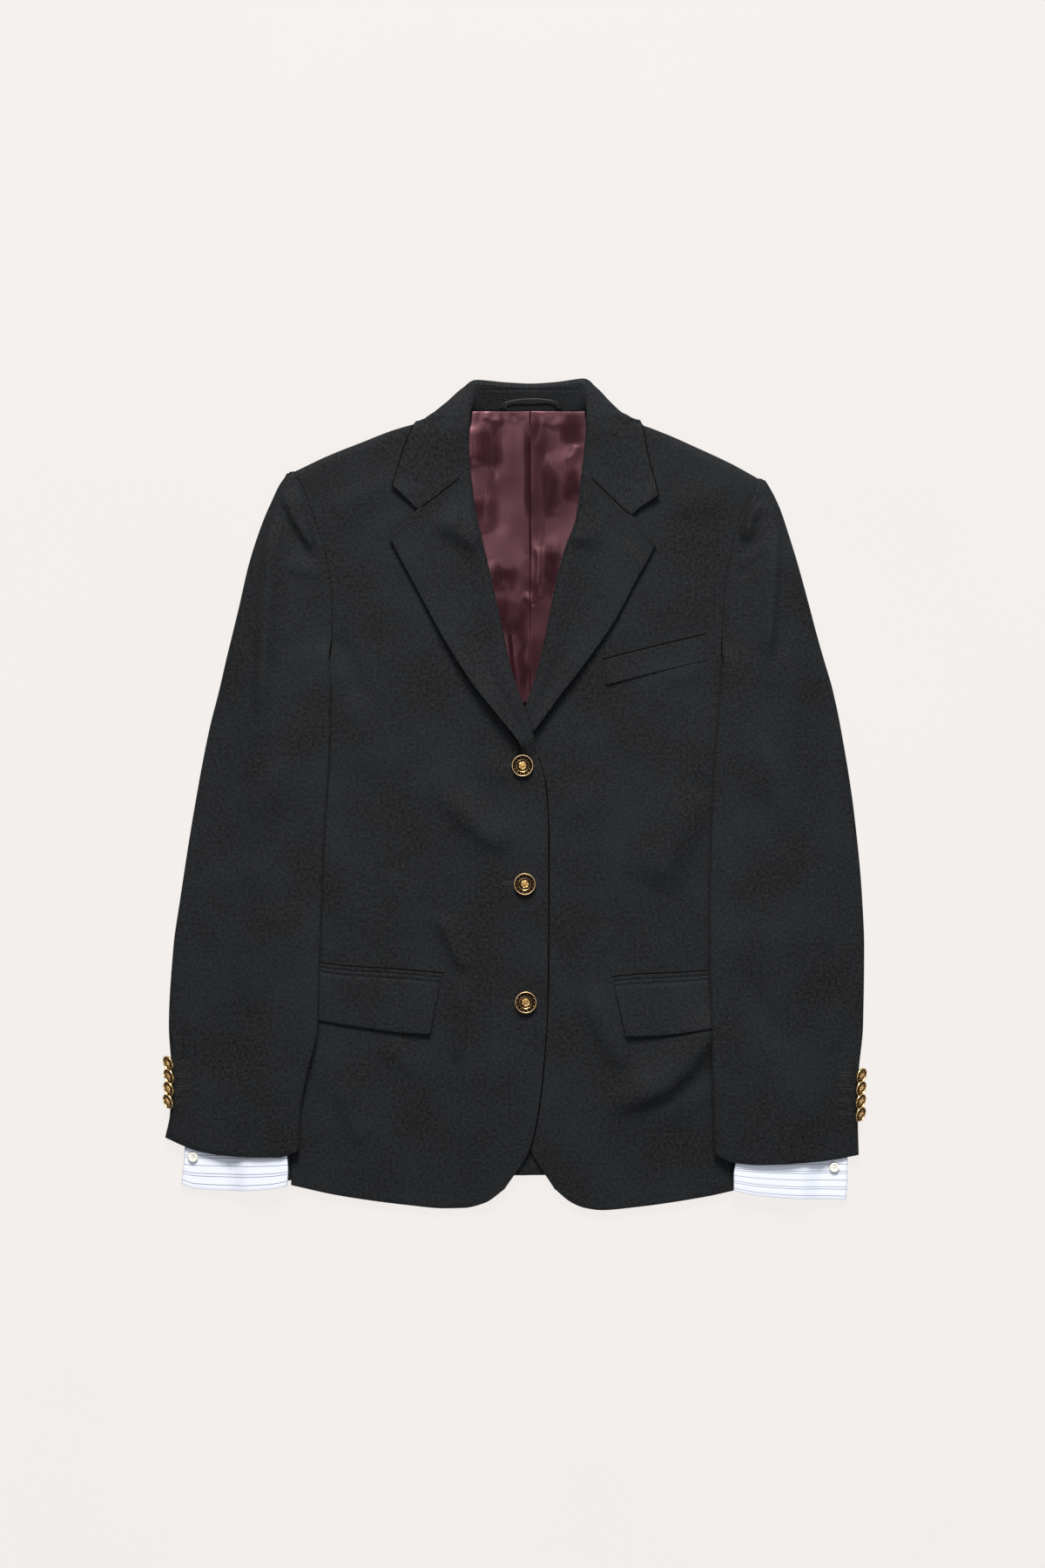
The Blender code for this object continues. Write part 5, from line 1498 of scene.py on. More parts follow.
def panel(levels: Sequence[float], edges: Callable[[float, float], Flat], hem: Callable[[float], float],
          top: Callable[[float], float], height: Height, curl: bool, dart: Optional[float] = None) -> Rows:
    """Lay out a body panel whose hem and shoulder are not level.

    Args:
        levels: The rows' levels from hem to shoulder.
        edges: The two end points' X for a level and for what it reaches at the free end.
        hem: Y of the hem for an X.
        top: Y of the shoulder for an X.
        height: Height of the cloth's middle.
        curl: Whether the shoulder rounds down to the back.
        dart: X of a dart, if there is one.

    Returns:
        The grid of points.
    """
    rows: Rows = []
    low, high = levels[0], levels[-1]
    neck = top(edges(high, high)[1])
    for level in levels:
        share = max(0.0, (level - HEAD_ZONE) / (high - HEAD_ZONE))
        seat, reach = level, level
        if share > 0:
            reach = HEAD_ZONE + (neck - HEAD_ZONE) * share
            for _ in range(3):
                seat = HEAD_ZONE + (top(edges(seat, seat)[0]) - HEAD_ZONE) * share
        side, free = edges(seat, reach)[0], edges(level, reach)[1]
        if dart is None:
            stops = spread(side, free, PANEL_STOPS)
        else:
            inward = math.copysign(1.0, free - side)
            stops = spread(side, dart - inward * GRID, PANEL_STOPS // 2)
            stops += [dart + inward * v for v in DART_STOPS]
            stops += spread(dart + inward * GRID, free, PANEL_STOPS // 2)
        row = []
        for x in stops:
            y, edge = level, top(x)
            if level < HEM_ZONE:
                y = HEM_ZONE + (hem(x) - HEM_ZONE) * (HEM_ZONE - level) / (HEM_ZONE - low)
            if share > 0:
                y = HEAD_ZONE + (edge - HEAD_ZONE) * share
            z = height(x, y) - (0.0 if dart is None else dart_depth(x, y, dart))
            row.append((x, y, edge_curl(z, edge - y, back_top(x, y)) if curl else z))
        rows.append(row)
    return rows


@dataclass
class JacketBack(WoolPart):
    """The two halves of the back, pressed flat on the surface, joined at the centre seam."""

    step: float = 8.0
    shown_rise: float = 1.3
    shown_tilt: float = 1.8

    def height(self, x: float, y: float) -> float:
        """Height of the back's middle: it rises a little where it shows between the fronts at the hem."""
        shown = bell((x - 10) / 20) * ease((-320 - y) / 12)
        return back_z(x, y) + (self.shown_rise + self.shown_tilt * ease((16 - x) / 8)) * shown

    def build(self) -> None:
        """Build and dress both halves."""
        for hand in HANDS:

            def ends(level: float, reach: float) -> Flat:
                """X of the side seam and of the centre seam."""
                under = 0.9 * ease((level - 256) / 20)
                return column(hand.back, "side", level) + hand.out * (under - SEAM_GAP / 2), CENTRE_BACK

            tip = hand.back[-1].y
            levels = denser([-351, *LOW_LEVELS, *SIDE_LEVELS, *ARM_LEVELS, *head_levels(tip), tip], self.step)
            rows = panel(levels, ends, line(HEM_BACK), line(SHOULDER_BACK), self.height, False)
            self.cut("back_cloth_" + hand.name, "back_" + hand.name, rows, [])


@dataclass
class SidePanels(WoolPart):
    """The side panels, folded between back and front under the arms."""

    step: float = 6.0

    def build(self) -> None:
        """Build and dress both panels."""
        for hand in HANDS:
            rows: Rows = []
            for y in denser([hand.side[0].y, *LOW_LEVELS, *SIDE_LEVELS], self.step):
                back = column(hand.back, "side", y) + hand.out * SEAM_GAP / 2
                front = column(hand.front, "side", y) + hand.out * SEAM_GAP
                top = front_left_z(front, y)
                rise = (top - FLOOR) / 2
                core = column(hand.side, "fold", y) - hand.out * (CLOTH_WALL / 2 + rise)
                row = [(x, y, FLOOR) for x in spread(back, core, 9)[:-1]]
                row += [(core + hand.out * rise * far, y, FLOOR + rise * up) for far, up in HALF_ROUND]
                row += [(x, y, top) for x in spread(core, front, 7)[1:]]
                rows.append(row)
            self.cut("side_cloth_" + hand.name, "side_panel_" + hand.name, rows, ["back_cloth_" + hand.name],
                     held=Held.FOLDED)


@dataclass
class BackLining:
    """The satin lining inside the back, with its ease pleat down the centre."""

    finishes: Finishes
    wall: float = LINING_WALL
    step: float = 2.0
    pleat_x: float = 14.4
    pleat_high: float = 1.1
    slack: float = 0.55
    ripple: float = 0.08
    drawn_deep: float = 1.15

    def gather(self, x: float, y: float) -> float:
        """How far the lining is drawn into fine upright ripples at a place, 0 to 1."""
        x += 5 * rough(x, y, 11, 15, 4.0)
        y += 8 * rough(x, y, 12, 14, 6.0)
        return min(1.0, sum(math.exp(-abs((x - cx) / wide) ** 3 - abs((y - cy) / tall) ** 3)
                            for cx, cy, wide, tall in LINING_GATHERS))

    def height(self, x: float, y: float) -> float:
        """Height of the lining's middle: ease pleat, long drapes and puckers at the neck."""
        rest = FLOOR + NECK_RISE * ease((y - 150) / 200) + CLOTH_WALL / 2 + SEAM_GAP + LINING_WALL / 2 + LINING_EASE
        gap = x - self.pleat_x
        pleat = self.pleat_high * ease(gap / 2.6 + 0.5) * math.exp(-max(0.0, gap) / 18)
        pleat -= 0.35 * math.exp(-((gap / 0.9) ** 2))
        loose = self.slack * rough(x, y, 24, 33, 2.0)
        wave = math.sin(x / 1.15 + 1.6 * rough(x, y, 14, 17, 9.0))
        loose += self.ripple * wave * self.gather(x, y)
        pucker = 0.5 * ease((y - 330) / 14) * rough(x, y, 6.5, 7, 5.0)
        calm = ease((353 - y) / 7) * 0.85 + 0.15
        moved = pleat + (pucker + loose + self.drawn_deep * crease_height(LINING_CREASES, x, y)) * calm
        return rest + fold_height(LINING_FOLDS, x, y) + max(moved, -LINING_EASE)

    def build(self) -> None:
        """Build and dress the lining."""
        rows: Rows = []
        for y in denser([LINING[-1].y, LINING[0].y], self.step):
            right, left = column(LINING, "right", y), column(LINING, "left", y)
            across = spread(right, self.pleat_x - 3, 34) + spread(self.pleat_x - 2.2, self.pleat_x + 2.2, 9)
            across += spread(self.pleat_x + 3, left, 30)
            rows.append([(x, y, self.height(x, y)) for x in across])
        piece = cloth("back_lining_satin", rows, self.wall, self.finishes.satin, Slot.LINING, "back_lining",
                      ["back_cloth_right", "back_cloth_left"])
        drawn = piece.data.attributes.new("gather", "FLOAT", "POINT")
        drawn.data.foreach_set("value", [self.gather(v.co.x / MM, v.co.y / MM) for v in piece.data.vertices])


@dataclass
class Fronts(WoolPart):
    """The two fronts, the wearer's right one over the left, each with its waist dart."""

    wall: float = FRONT_WALL
    shoulder_out: float = 33.0

    def build(self) -> None:
        """Build and dress both fronts."""
        for hand in HANDS:
            tip = column(hand.shoulder, "y", hand.front[-1].side + hand.out * self.shoulder_out, key="x")
            levels = sorted(FRONT_LEVELS + LOW_LEVELS + SIDE_LEVELS + ARM_LEVELS)
            levels = denser(levels + head_levels(tip), GRID) + denser([tip - 4, tip], 0.8)
            rows = panel(sorted(set(levels)), front_edges(hand), line(hand.hem), line(hand.shoulder), hand.front_z,
                         True, hand.dart)
            under = "front_cloth_left" if hand is RIGHT else "back_lining_satin"
            self.cut("front_cloth_" + hand.name, "front_" + hand.name, rows, ["back_cloth_" + hand.name, under])


@dataclass
class Lapels(WoolPart):
    """The notch lapels, each rolled out of its front along the roll line."""

    wall: float = FRONT_WALL
    stations: int = 66
    across: int = 22
    sunk: float = 2.6
    loose: float = 5.0
    right_share: float = 1.7
    gorge_lift: float = 0.7
    spacing: float = 1.15
    shapes: dict[str, Rows] = field(default_factory=dict)
    tip_right: LapelRow = LapelRow(21.4, 26.0, 8.0, 30.0)
    tip_left: LapelRow = LapelRow(8.4, 73.0, 12.4, 49.6)

    def section(self, row: LapelRow, height: Height, fade: float) -> list[Point]:
        """Shape one station of a lapel.

        Args:
            row: The station.
            height: Height of the front beneath.
            fade: 1 for a full roll, 0 where it has flattened out into the front.

        Returns:
            Points from the hidden lip round the roll and out to the edge.
        """
        roll, edge = Vector(row[:2]), Vector(row[2:4])
        width = (edge - roll).length
        aim = (edge - roll) / width

        def at(distance: float, lift: float) -> Point:
            """A point at a distance from the roll line."""
            share = min(distance / width, 1.0)
            lift = lift * (0.45 + 0.55 * fade) - self.sunk * (1 - fade)
            bow = row.bow * min(share / NOTCH_SHARE, (1 - share) / (1 - NOTCH_SHARE))
            point = roll + aim * distance + Vector((aim.y, -aim.x)) * bow
            drag = BODY_DEPTH * crease_height(LAPEL_CREASES, point.x, point.y) * ease(distance / 8) / 1.5
            return point.x, point.y, height(point.x, point.y) + drag + lift

        points = [at(*spot) for spot in LAPEL_LIP]
        for k in range(1, self.across + 1):
            distance = LIP_END + (width - LIP_END) * (k / self.across) ** self.spacing
            share = (distance - LIP_END) / max(width - LIP_END, 1e-6)
            spring = self.loose * fade * fade * (self.right_share if edge.x < roll.x else 1.0)
            loose = spring * ease(1.6 * share - 0.6) * (1 - 0.8 * ease((edge.y - 60) / 140))
            points.append(at(distance, lapel_lift(distance, share) + loose))
        return points

    def surface(self, name: str, x: float, y: float) -> float:
        """Height of a built lapel's middle, from its points nearest to a place."""
        upper = [p for row in self.shapes[name] for p in row[len(LAPEL_LIP):]]
        spots = sorted(((p[0] - x) ** 2 + (p[1] - y) ** 2, p[2]) for p in upper)[:4]
        weights = [1 / (gap + 0.01) for gap, _ in spots]
        return sum(w * z for w, (_, z) in zip(weights, spots)) / sum(weights)

    def build(self) -> None:
        """Build and dress both lapels."""
        for hand in HANDS:
            table = [self.tip_right if hand is RIGHT else self.tip_left] + hand.lapel
            last = len(table) - 1
            rows = []
            for at in spread(0, last, self.stations):
                fade = ease(at / 1.15) if hand is RIGHT else ease(at + 0.1)
                raised = self.gorge_lift * ease((at - last) * 5 + 1)
                rows.append([(x, y, z + raised) for x, y, z in self.section(station(table, at), hand.front_z, fade)])
            rows.append([(x + hand.out * 0.3, y + 0.7, z - 1.5) for x, y, z in rows[-1]])
            self.shapes[hand.name] = rows
            self.cut("lapel_cloth_" + hand.name, "lapel_" + hand.name, rows, ["front_cloth_" + hand.name],
                     held=Held.FOLDED, soft=0.5)


def lapel_lift(distance: float, share: float) -> float:
    """Height of a lapel's middle over the front's, by distance from the roll line."""
    return LAPEL_LIFT + ROLL_LIFT * bell((distance - LIP_END) / ROLL_REACH) + 0.5 * ease(2 * share - 1)


@dataclass
class Collar(WoolPart):
    """The collar: stand inside the neck, fall over the fronts and under the back."""

    wall: float = FRONT_WALL
    step: float = 0.14
    seam_y: float = 370.6
    seam_deep: float = 0.75
    shape: Rows = field(default_factory=list)

    def section(self, row: CollarRow) -> list[Point]:
        """Points from the stand's foot over the fold to the fall's edge, at one station."""
        foot, fold, crest, edge = (Vector(row[k : k + 3]) for k in (0, 3, 6, 9))
        over = [fold.lerp(crest, 0.3) + Vector((0, 0, 0.8)), crest, *(crest.lerp(edge, t) for t in (0.3, 0.55, 0.8))]
        under = [fold.lerp(crest, 0.5) + Vector((0, 0, 1.0)), crest, *(
            Vector((*crest.lerp(edge, t).xy, edge.z + up)) for t, up in ((0.2, 0.3), (0.45, 0), (0.75, 0)))]
        share = ease((FALL_OVER - row.edge_z) / (FALL_OVER - FALL_UNDER))
        points = [foot, foot.lerp(fold, 0.5) + Vector((0, 0, 0.2)), fold]
        points += [a.lerp(b, share) for a, b in zip(over, under)]
        curve = through(points + [edge], (5, 12, 5, 6, 4, 3, 3, 3))
        return [(p.x, p.y, max(p.z - self.seam(p), FRONT_WALL / 2)) for p in curve]

    def seam(self, point: Vector) -> float:
        """Depth of the seam that joins stand and fall, just inside the fold at the back."""
        behind = 1 - ease((abs(point.x - NECK_CENTRE) - 40) / 12)
        return self.seam_deep * behind * bell((point.y - self.seam_y) / 0.75)

    def build(self) -> None:
        """Build and dress the collar."""
        rows, last = self.shape, len(COLLAR) - 1
        for at in denser(COLLAR_STATIONS + tuple(last - at for at in COLLAR_STATIONS[-2::-1]), self.step):
            rows.append(self.section(station(COLLAR, at)))
        below = ["front_cloth_right", "front_cloth_left", "back_cloth_right", "back_cloth_left"]
        self.cut("collar_cloth", "collar", rows, below, held=Held.FOLDED, soft=0.5)


@dataclass
class HangerLoop:
    """The black satin hanging loop that arches over the stand at the back of the neck."""

    finishes: Finishes
    wall: float = 0.9
    width: float = LOOP_WIDTH + 2.4
    crown: float = 0.5
    waver: float = 0.12
    clear: float = LAY_GAP + 0.6

    def build(self) -> None:
        """Build and dress the loop, a little rounded across like a stitched tube."""
        rows: Rows = []
        centre = Vector((NECK_CENTRE, 346.0, 0))
        for side in spread(-0.5, 0.5, 7):
            row = []
            for spot in through([(x, y, 0) for x, y in LOOP], [3, 6, 4, 4, 4, 4, 6, 3]):
                point = spot + (spot - centre).normalized() * (side * self.width)
                round_up = self.crown * (1 - (2 * side) ** 2) + self.waver * math.sin(point.x * 1.3)
                row.append((point.x, point.y, stand_z(point.y) + FRONT_WALL / 2 + self.clear + round_up))
            rows.append(row)
        cloth("hanger_loop_tape", rows, self.wall, self.finishes.tape, Slot.TAPE, "hanger_loop", ["collar_cloth"],
              soft=0.25, declared=False)


# ---- sleeves


def sleeve_base(hand: HandSide, x: float, y: float) -> float:
    """Height of the under sleeve's middle: on the surface, or over the body's side."""
    inside = hand.out * (column(hand.side, "fold", y) - x)
    high = lay(column(hand.side, "fold", y) - hand.out * SIDE_WIDTH, y) + column(hand.sleeve, "lift", y)
    return FLOOR + (high - FLOOR) * ease((inside + 21) / 17)


def sleeve_depth(y: float) -> float:
    """Distance between the two walls of a sleeve, with room for the shirt cuff."""
    return ARM_DEPTH + (CUFF_DEPTH - ARM_DEPTH) * ease((-236 - y) / 40)


def hem_shift(points: Sequence[Point], hem: Sequence[Edge], low: float, zone: float) -> list[Point]:
    """Bring the points of a sleeve's section below the level zone onto its slanting hem.

    The level low stands for the hem itself.
    """
    shifted = []
    for x, y, z in points:
        if y < zone:
            y = zone + (column(hem, "y", x, key="x") - zone) * (zone - y) / (zone - low)
        shifted.append((x, y, z))
    return shifted


@dataclass
class Sleeves(WoolPart):
    """The two-piece sleeves, with the top piece round the outer fold at the head."""

    across: int = 60
    head_round: float = 18.0
    head_swell: float = 1.6

    def section(self, hand: HandSide, y: float) -> list[Point]:
        """Shape one section of a top sleeve.

        Args:
            hand: The hand's tables.
            y: The section's level.

        Returns:
            Points round the tuck, the inner fold, the top, the outer fold and the return.
        """
        outer, inner, lift, crown, tuck = (column(hand.sleeve, name, y) for name in SleeveRow._fields[1:])
        width = abs(outer - inner)
        arm = ease((tuck - HEAD_TUCK) / ARM_TUCK)
        tip = hand.tip()
        low = edge_curl(lay(inner, y) + lift, tip - y, CROWN_END)
        high = low + HEAD_RISE + (sleeve_depth(y) - HEAD_RISE) * arm
        fall = CROWN_FALL * ease((y - tip + self.head_round) / self.head_round)
        out_z = FLOOR + sleeve_depth(y) + self.head_swell * ease((y - 60) / 80)
        seam = abs(outer - column(hand.back, "side", y)) - HIDDEN_GAP
        back_run = BACK_RUN + (seam - BACK_RUN) * ease((y - ARM_TOP - 3) / 6)
        half = CLOTH_WALL / 2
        core = (high - low) / 2
        points = [(distance, low) for distance in spread(tuck, half + core * PRESSED, 4)[:-1]]
        points += [(half + core * (PRESSED - out), low + core * up) for out, up in HALF_ROUND]
        near = points[-1][0]
        round_out = (out_z - FLOOR) / 2
        far = width - half - round_out * PRESSED
        fold = column(hand.side, "fold", y)
        for k in range(1, self.across + 1):
            share = k / (self.across + 1)
            distance = near + (far - near) * share
            x = inner + hand.out * distance
            inside = hand.out * (fold - inner) - distance
            z = out_z + (high - out_z) * ease((inside + 44) / 56) + crown * math.sin(math.pi * share) ** 0.8
            z += fold_height(SLEEVE_FOLDS, x, y) * math.sin(math.pi * share) ** 0.5
            drag = SLEEVE_DEPTH * crease_height(SLEEVE_CREASES, x, y) + PRESS_UNEVEN * mottle(x, y, 3.0)
            z += drag * ease(6 * share) * ease(6 - 6 * share)
            points.append((distance, z))
        points += [(far + round_out * out, FLOOR + round_out * up) for out, up in reversed(HALF_ROUND)]
        last = width - far
        points += [(width - v, FLOOR) for v in spread(last, back_run, 5)[1:]]
        return [(inner + hand.out * distance, y - fall * distance / width, z) for distance, z in points]

    def top_z(self, hand: HandSide, x: float, y: float) -> float:
        """Height of a top sleeve's middle at a place on its upper side."""
        points = self.section(hand, y)[11:-4]
        order = sorted((p[0], p[2]) for p in points)
        return float(np.interp(x, [p[0] for p in order], [p[1] for p in order]))

    def build(self) -> None:
        """Build and dress both pieces of both sleeves."""
        for hand in HANDS:
            low = hand.sleeve[-1].y
            arm = denser([ARM_TOP] + spread(60, low, 12), GRID)
            tip = hand.tip()
            head = denser(head_levels(tip)[::-1] + list(ARM_LEVELS[::-1]) + [ARM_TOP], GRID)
            head = denser([tip, tip - 6], 1.0) + [y for y in head if y < tip - 7]
            rows = [hem_shift(self.section(hand, y), hand.sleeve_hem, low, SLEEVE_HEM_ZONE) for y in head[:-1] + arm]
            self.cut("top_sleeve_cloth_" + hand.name, "top_sleeve_" + hand.name, rows,
                     ["side_cloth_" + hand.name, "back_cloth_" + hand.name], held=Held.FOLDED)
            rows = []
            for y in arm:
                inner = column(hand.sleeve, "inner", y) + hand.out * (column(hand.sleeve, "tuck", y) + SEAM_GAP)
                outer = column(hand.sleeve, "outer", y) - hand.out * (BACK_RUN + HIDDEN_GAP)
                points = [(x, y, sleeve_base(hand, x, y)) for x in past_fold(hand, y, inner, outer, (8, 8))]
                rows.append(hem_shift(points, hand.sleeve_hem, low, SLEEVE_HEM_ZONE))
            self.cut("under_sleeve_cloth_" + hand.name, "under_sleeve_" + hand.name, rows,
                     ["side_cloth_" + hand.name])


# ---- pockets


@dataclass
class Pockets(WoolPart):
    """Breast welt, hip jets and flaps, each made from the points of the front it lies on."""

    wall: float = FLAP_WALL
    across: int = 16
    jet_rows: int = 7
    seam_at: float = 0.085
    seam_deep: float = 0.75
    top_deep: float = 0.5

    def press(self, share: float) -> float:
        """Depth of the pressed seam below the jet, at a share of a flap's height."""
        return self.seam_deep * bell((share - self.seam_at) / 0.028) + self.top_deep * (1 - ease(share / 0.03))

    def patch(self, piece: Patch, hand: HandSide, across: int, roll: float, sink: float) -> None:
        """Build and dress one piece.

        Args:
            piece: The piece's corners.
            hand: The side that it lies on.
            across: Rows from its top to its bottom.
            roll: How far its middle stands above its edges.
            sink: How deep it is pressed into the front.
        """
        steps = [max(2, round((Vector(b) - Vector(a)).length / 3.6)) for a, b in zip(piece.top, piece.top[1:])]
        tops = through([(*p, 0) for p in piece.top], steps)
        bottoms = through([(*p, 0) for p in piece.bottom], steps)
        rise = FRONT_WALL / 2 + self.wall / 2 - sink
        flap = piece in (FLAP_LEFT, FLAP_RIGHT)
        rows: Rows = []
        for share in [*FLAP_SHARES, *spread(0.2, 1, across - 7)] if flap else spread(0, 1, across):
            row = []
            for a, b in zip(tops, bottoms):
                spot = a.lerp(b, share)
                free_end = 1 - ease((abs(spot.x - CENTRE_BACK) - 70) / 90)
                soft = piece.soft * share * share * (0.4 + 2.8 * free_end)
                press = self.press(share) if flap else 0.0
                high = hand.front_z(spot.x, spot.y) + rise + soft - press + roll * math.sin(math.pi * share)
                row.append((spot.x, spot.y, high))
            rows.append(row)
        self.cut(piece.name + "_cloth", piece.name, rows, ["front_cloth_" + hand.name], soft=0.5,
                 declared=across > self.jet_rows)

    def build(self) -> None:
        """Build and dress all five pieces."""
        self.patch(WELT_LEFT, LEFT, self.across, 0.2, 1.3)
        for hand, jet, flap in ((LEFT, JET_LEFT, FLAP_LEFT), (RIGHT, JET_RIGHT, FLAP_RIGHT)):
            self.patch(jet, hand, self.jet_rows, 0.25, 1.3)
            self.patch(flap, hand, self.across, 0.3, -0.4)


# ---- buttons and sewing


@dataclass
class PaintedShadowLines:
    """Black thread laid in the sunk seams and under the edges as painted shadow, for the dark shade line there.

    It lies beside jets and welt, along the gorges, under the collar's edge and under the
    right front's edge.
    """

    finishes: Finishes
    stitches: NodeTool
    lapels: Lapels
    collar: "Collar"
    pitch: float = 1.7
    yarn: float = 1.4
    proud: float = 0.25
    fall_out: float = 84.0
    fall_top: float = 340.0
    edge_low: float = -330.0
    edge_top: float = 36.0

    def line(self, spots: Sequence[Flat], surface: Height) -> Mesh:
        """Lay the painted shadow thread of one seam along a line of places on a surface."""
        path = through([(x, y, 0) for x, y in spots], [8] * (len(spots) - 1))
        return self.thread([(p.x, p.y, surface(p.x, p.y)) for p in path])

    def thread(self, path: Sequence[Point]) -> Mesh:
        """Lay the painted shadow thread along a path of points."""
        return sew(self.stitches, path, self.pitch, (self.yarn, self.yarn * 0.5, self.pitch * 1.25), 0.06, 13,
                   self.finishes.painted_shade)

    def build(self) -> None:
        """Lay the painted shadow threads along every seam and edge of both hands."""
        for hand, jet, gorge_end in ((RIGHT, JET_RIGHT, 86.0), (LEFT, JET_LEFT, 106.0)):

            def face(x: float, y: float) -> float:
                """A little above the outer face of the hand's front."""
                return hand.front_z(x, y) + FRONT_WALL / 2 + self.proud

            # Painted shadow lines: above the jets and welt, along the gorge, under the collar's edge and beside the
            # right front's edge.
            tops = [jet.top] + ([WELT_LEFT.top] if hand is LEFT else [])
            lines = [self.line([(x, y + 0.4) for x, y in top], face) for top in tops]
            gorge = self.lapels.shapes[hand.name][-2][10:]
            lines.append(self.thread([(x, y + 0.3, z + FRONT_WALL / 2) for x, y, z in gorge
                                      if hand.out * x < gorge_end]))
            edge = [row[-1] for row in self.collar.shape
                    if hand.out * (row[-1][0] - 10) > self.fall_out and row[-1][1] < self.fall_top]
            lines.append(self.thread([(x + hand.out * 0.5, y, z - 0.2) for x, y, z in edge]))
            if hand is RIGHT:
                rows = [(row.free, row.y) for row in FRONT_RIGHT if self.edge_low < row.y < self.edge_top]
                lines.append(self.line([(x + 0.45, y) for x, y in rows], lambda x, y: LEFT.front_z(x, y) + 1.7))
            joined("seam_ditch_thread_" + hand.name, lines, Slot.WOOL, [])


@dataclass
class BlazerButton:
    """A stamped shank button: flat rubbed rim, ring of beads in a sunk ground, and a plain rosette."""

    finishes: Finishes
    rings: NodeTool
    diameter: float
    thick: float
    beads: int
    petals: int
    sides: int = 48

    def meshes(self, place: Matrix) -> list[Mesh]:
        """Make the button's parts at a place.

        Args:
            place: The matrix from the button's own axis to its seat.

        Returns:
            Plain meshes in the jacket's frame.
        """
        r, t = self.diameter / 2, self.thick
        profile = [(r * out, t * up) for out, up in BUTTON_PROFILE]
        body = turned_mesh(profile, self.sides, [self.finishes.brass, self.finishes.recess, self.finishes.rim],
                           ((r * 0.37, r * 0.53, 1), (r * 0.59, r * 0.89, 1), (r * 0.91, r * 0.975, 2)))
        parts = [body]
        for count, radius, high, stud in (
            (self.beads, r * 0.76, t * 0.5, (r * 0.046, r * 0.032, r * 0.04)),
            (self.petals, r * 0.27, t * 0.78, (r * 0.13, r * 0.06, r * 0.06)),
            (self.petals // 2, r * 0.05, t * 0.85, (r * 0.07, r * 0.06, r * 0.06)),
        ):
            parts.append(studs(self.rings, count, radius, high, stud, self.finishes.brass))
        for mesh in parts:
            mesh.transform(place)
        return parts


@dataclass
class FrontButtons:
    """Three large buttons down the right front."""

    finishes: Finishes
    rings: NodeTool
    thick: float = 3.4
    seat: float = 0.45

    def build(self) -> None:
        """Build and dress the three buttons."""
        button = BlazerButton(self.finishes, self.rings, FRONT_BUTTON, self.thick, 14, 7)
        r = FRONT_BUTTON / 2
        for count, spot in enumerate(FRONT_BUTTONS, start=1):
            ring = [(spot.x + r * math.cos(t), spot.y + r * math.sin(t)) for t in spread(0, 2 * math.pi, 13)]
            rest = max(front_right_z(x, y) for x, y in ring) + FRONT_WALL / 2 + self.seat
            place = Matrix.Translation(Vector((spot.x, spot.y, rest)) * MM)
            joined("front_button_brass_%d" % count, button.meshes(place), Slot.METAL, ["front_button_%d" % count])


@dataclass
class CuffButtons:
    """Four shingled buttons at the outer edge of each cuff, leaning outwards."""

    finishes: Finishes
    rings: NodeTool
    thick: float = 2.2

    def build(self) -> None:
        """Build and dress the eight buttons."""
        button = BlazerButton(self.finishes, self.rings, CUFF_BUTTON, self.thick, 16, 6, sides=36)
        tilt, shingle = math.radians(CUFF_TILT), math.radians(CUFF_SHINGLE)
        stand_off = CUFF_BUTTON / 2 * math.sin(shingle) + BUTTON_GAP
        for hand in HANDS:
            lean = Vector((hand.out * math.sin(tilt), 0, math.cos(tilt)))
            for count, y in enumerate(hand.cuff_buttons, start=1):
                rise = (sleeve_depth(y - CUFF_BUTTON / 4) + CLOTH_WALL) / 2
                core = Vector((column(hand.sleeve, "outer", y) - hand.out * rise, y, rise))
                turn = Euler((shingle, hand.out * tilt, 0), "XYZ").to_matrix().to_4x4()
                place = Matrix.Translation((core + lean * (rise + stand_off)) * MM) @ turn
                joined("cuff_button_brass_%s_%d" % (hand.name, count), button.meshes(place), Slot.METAL,
                       ["cuff_button_%s_%d" % (hand.name, count)])


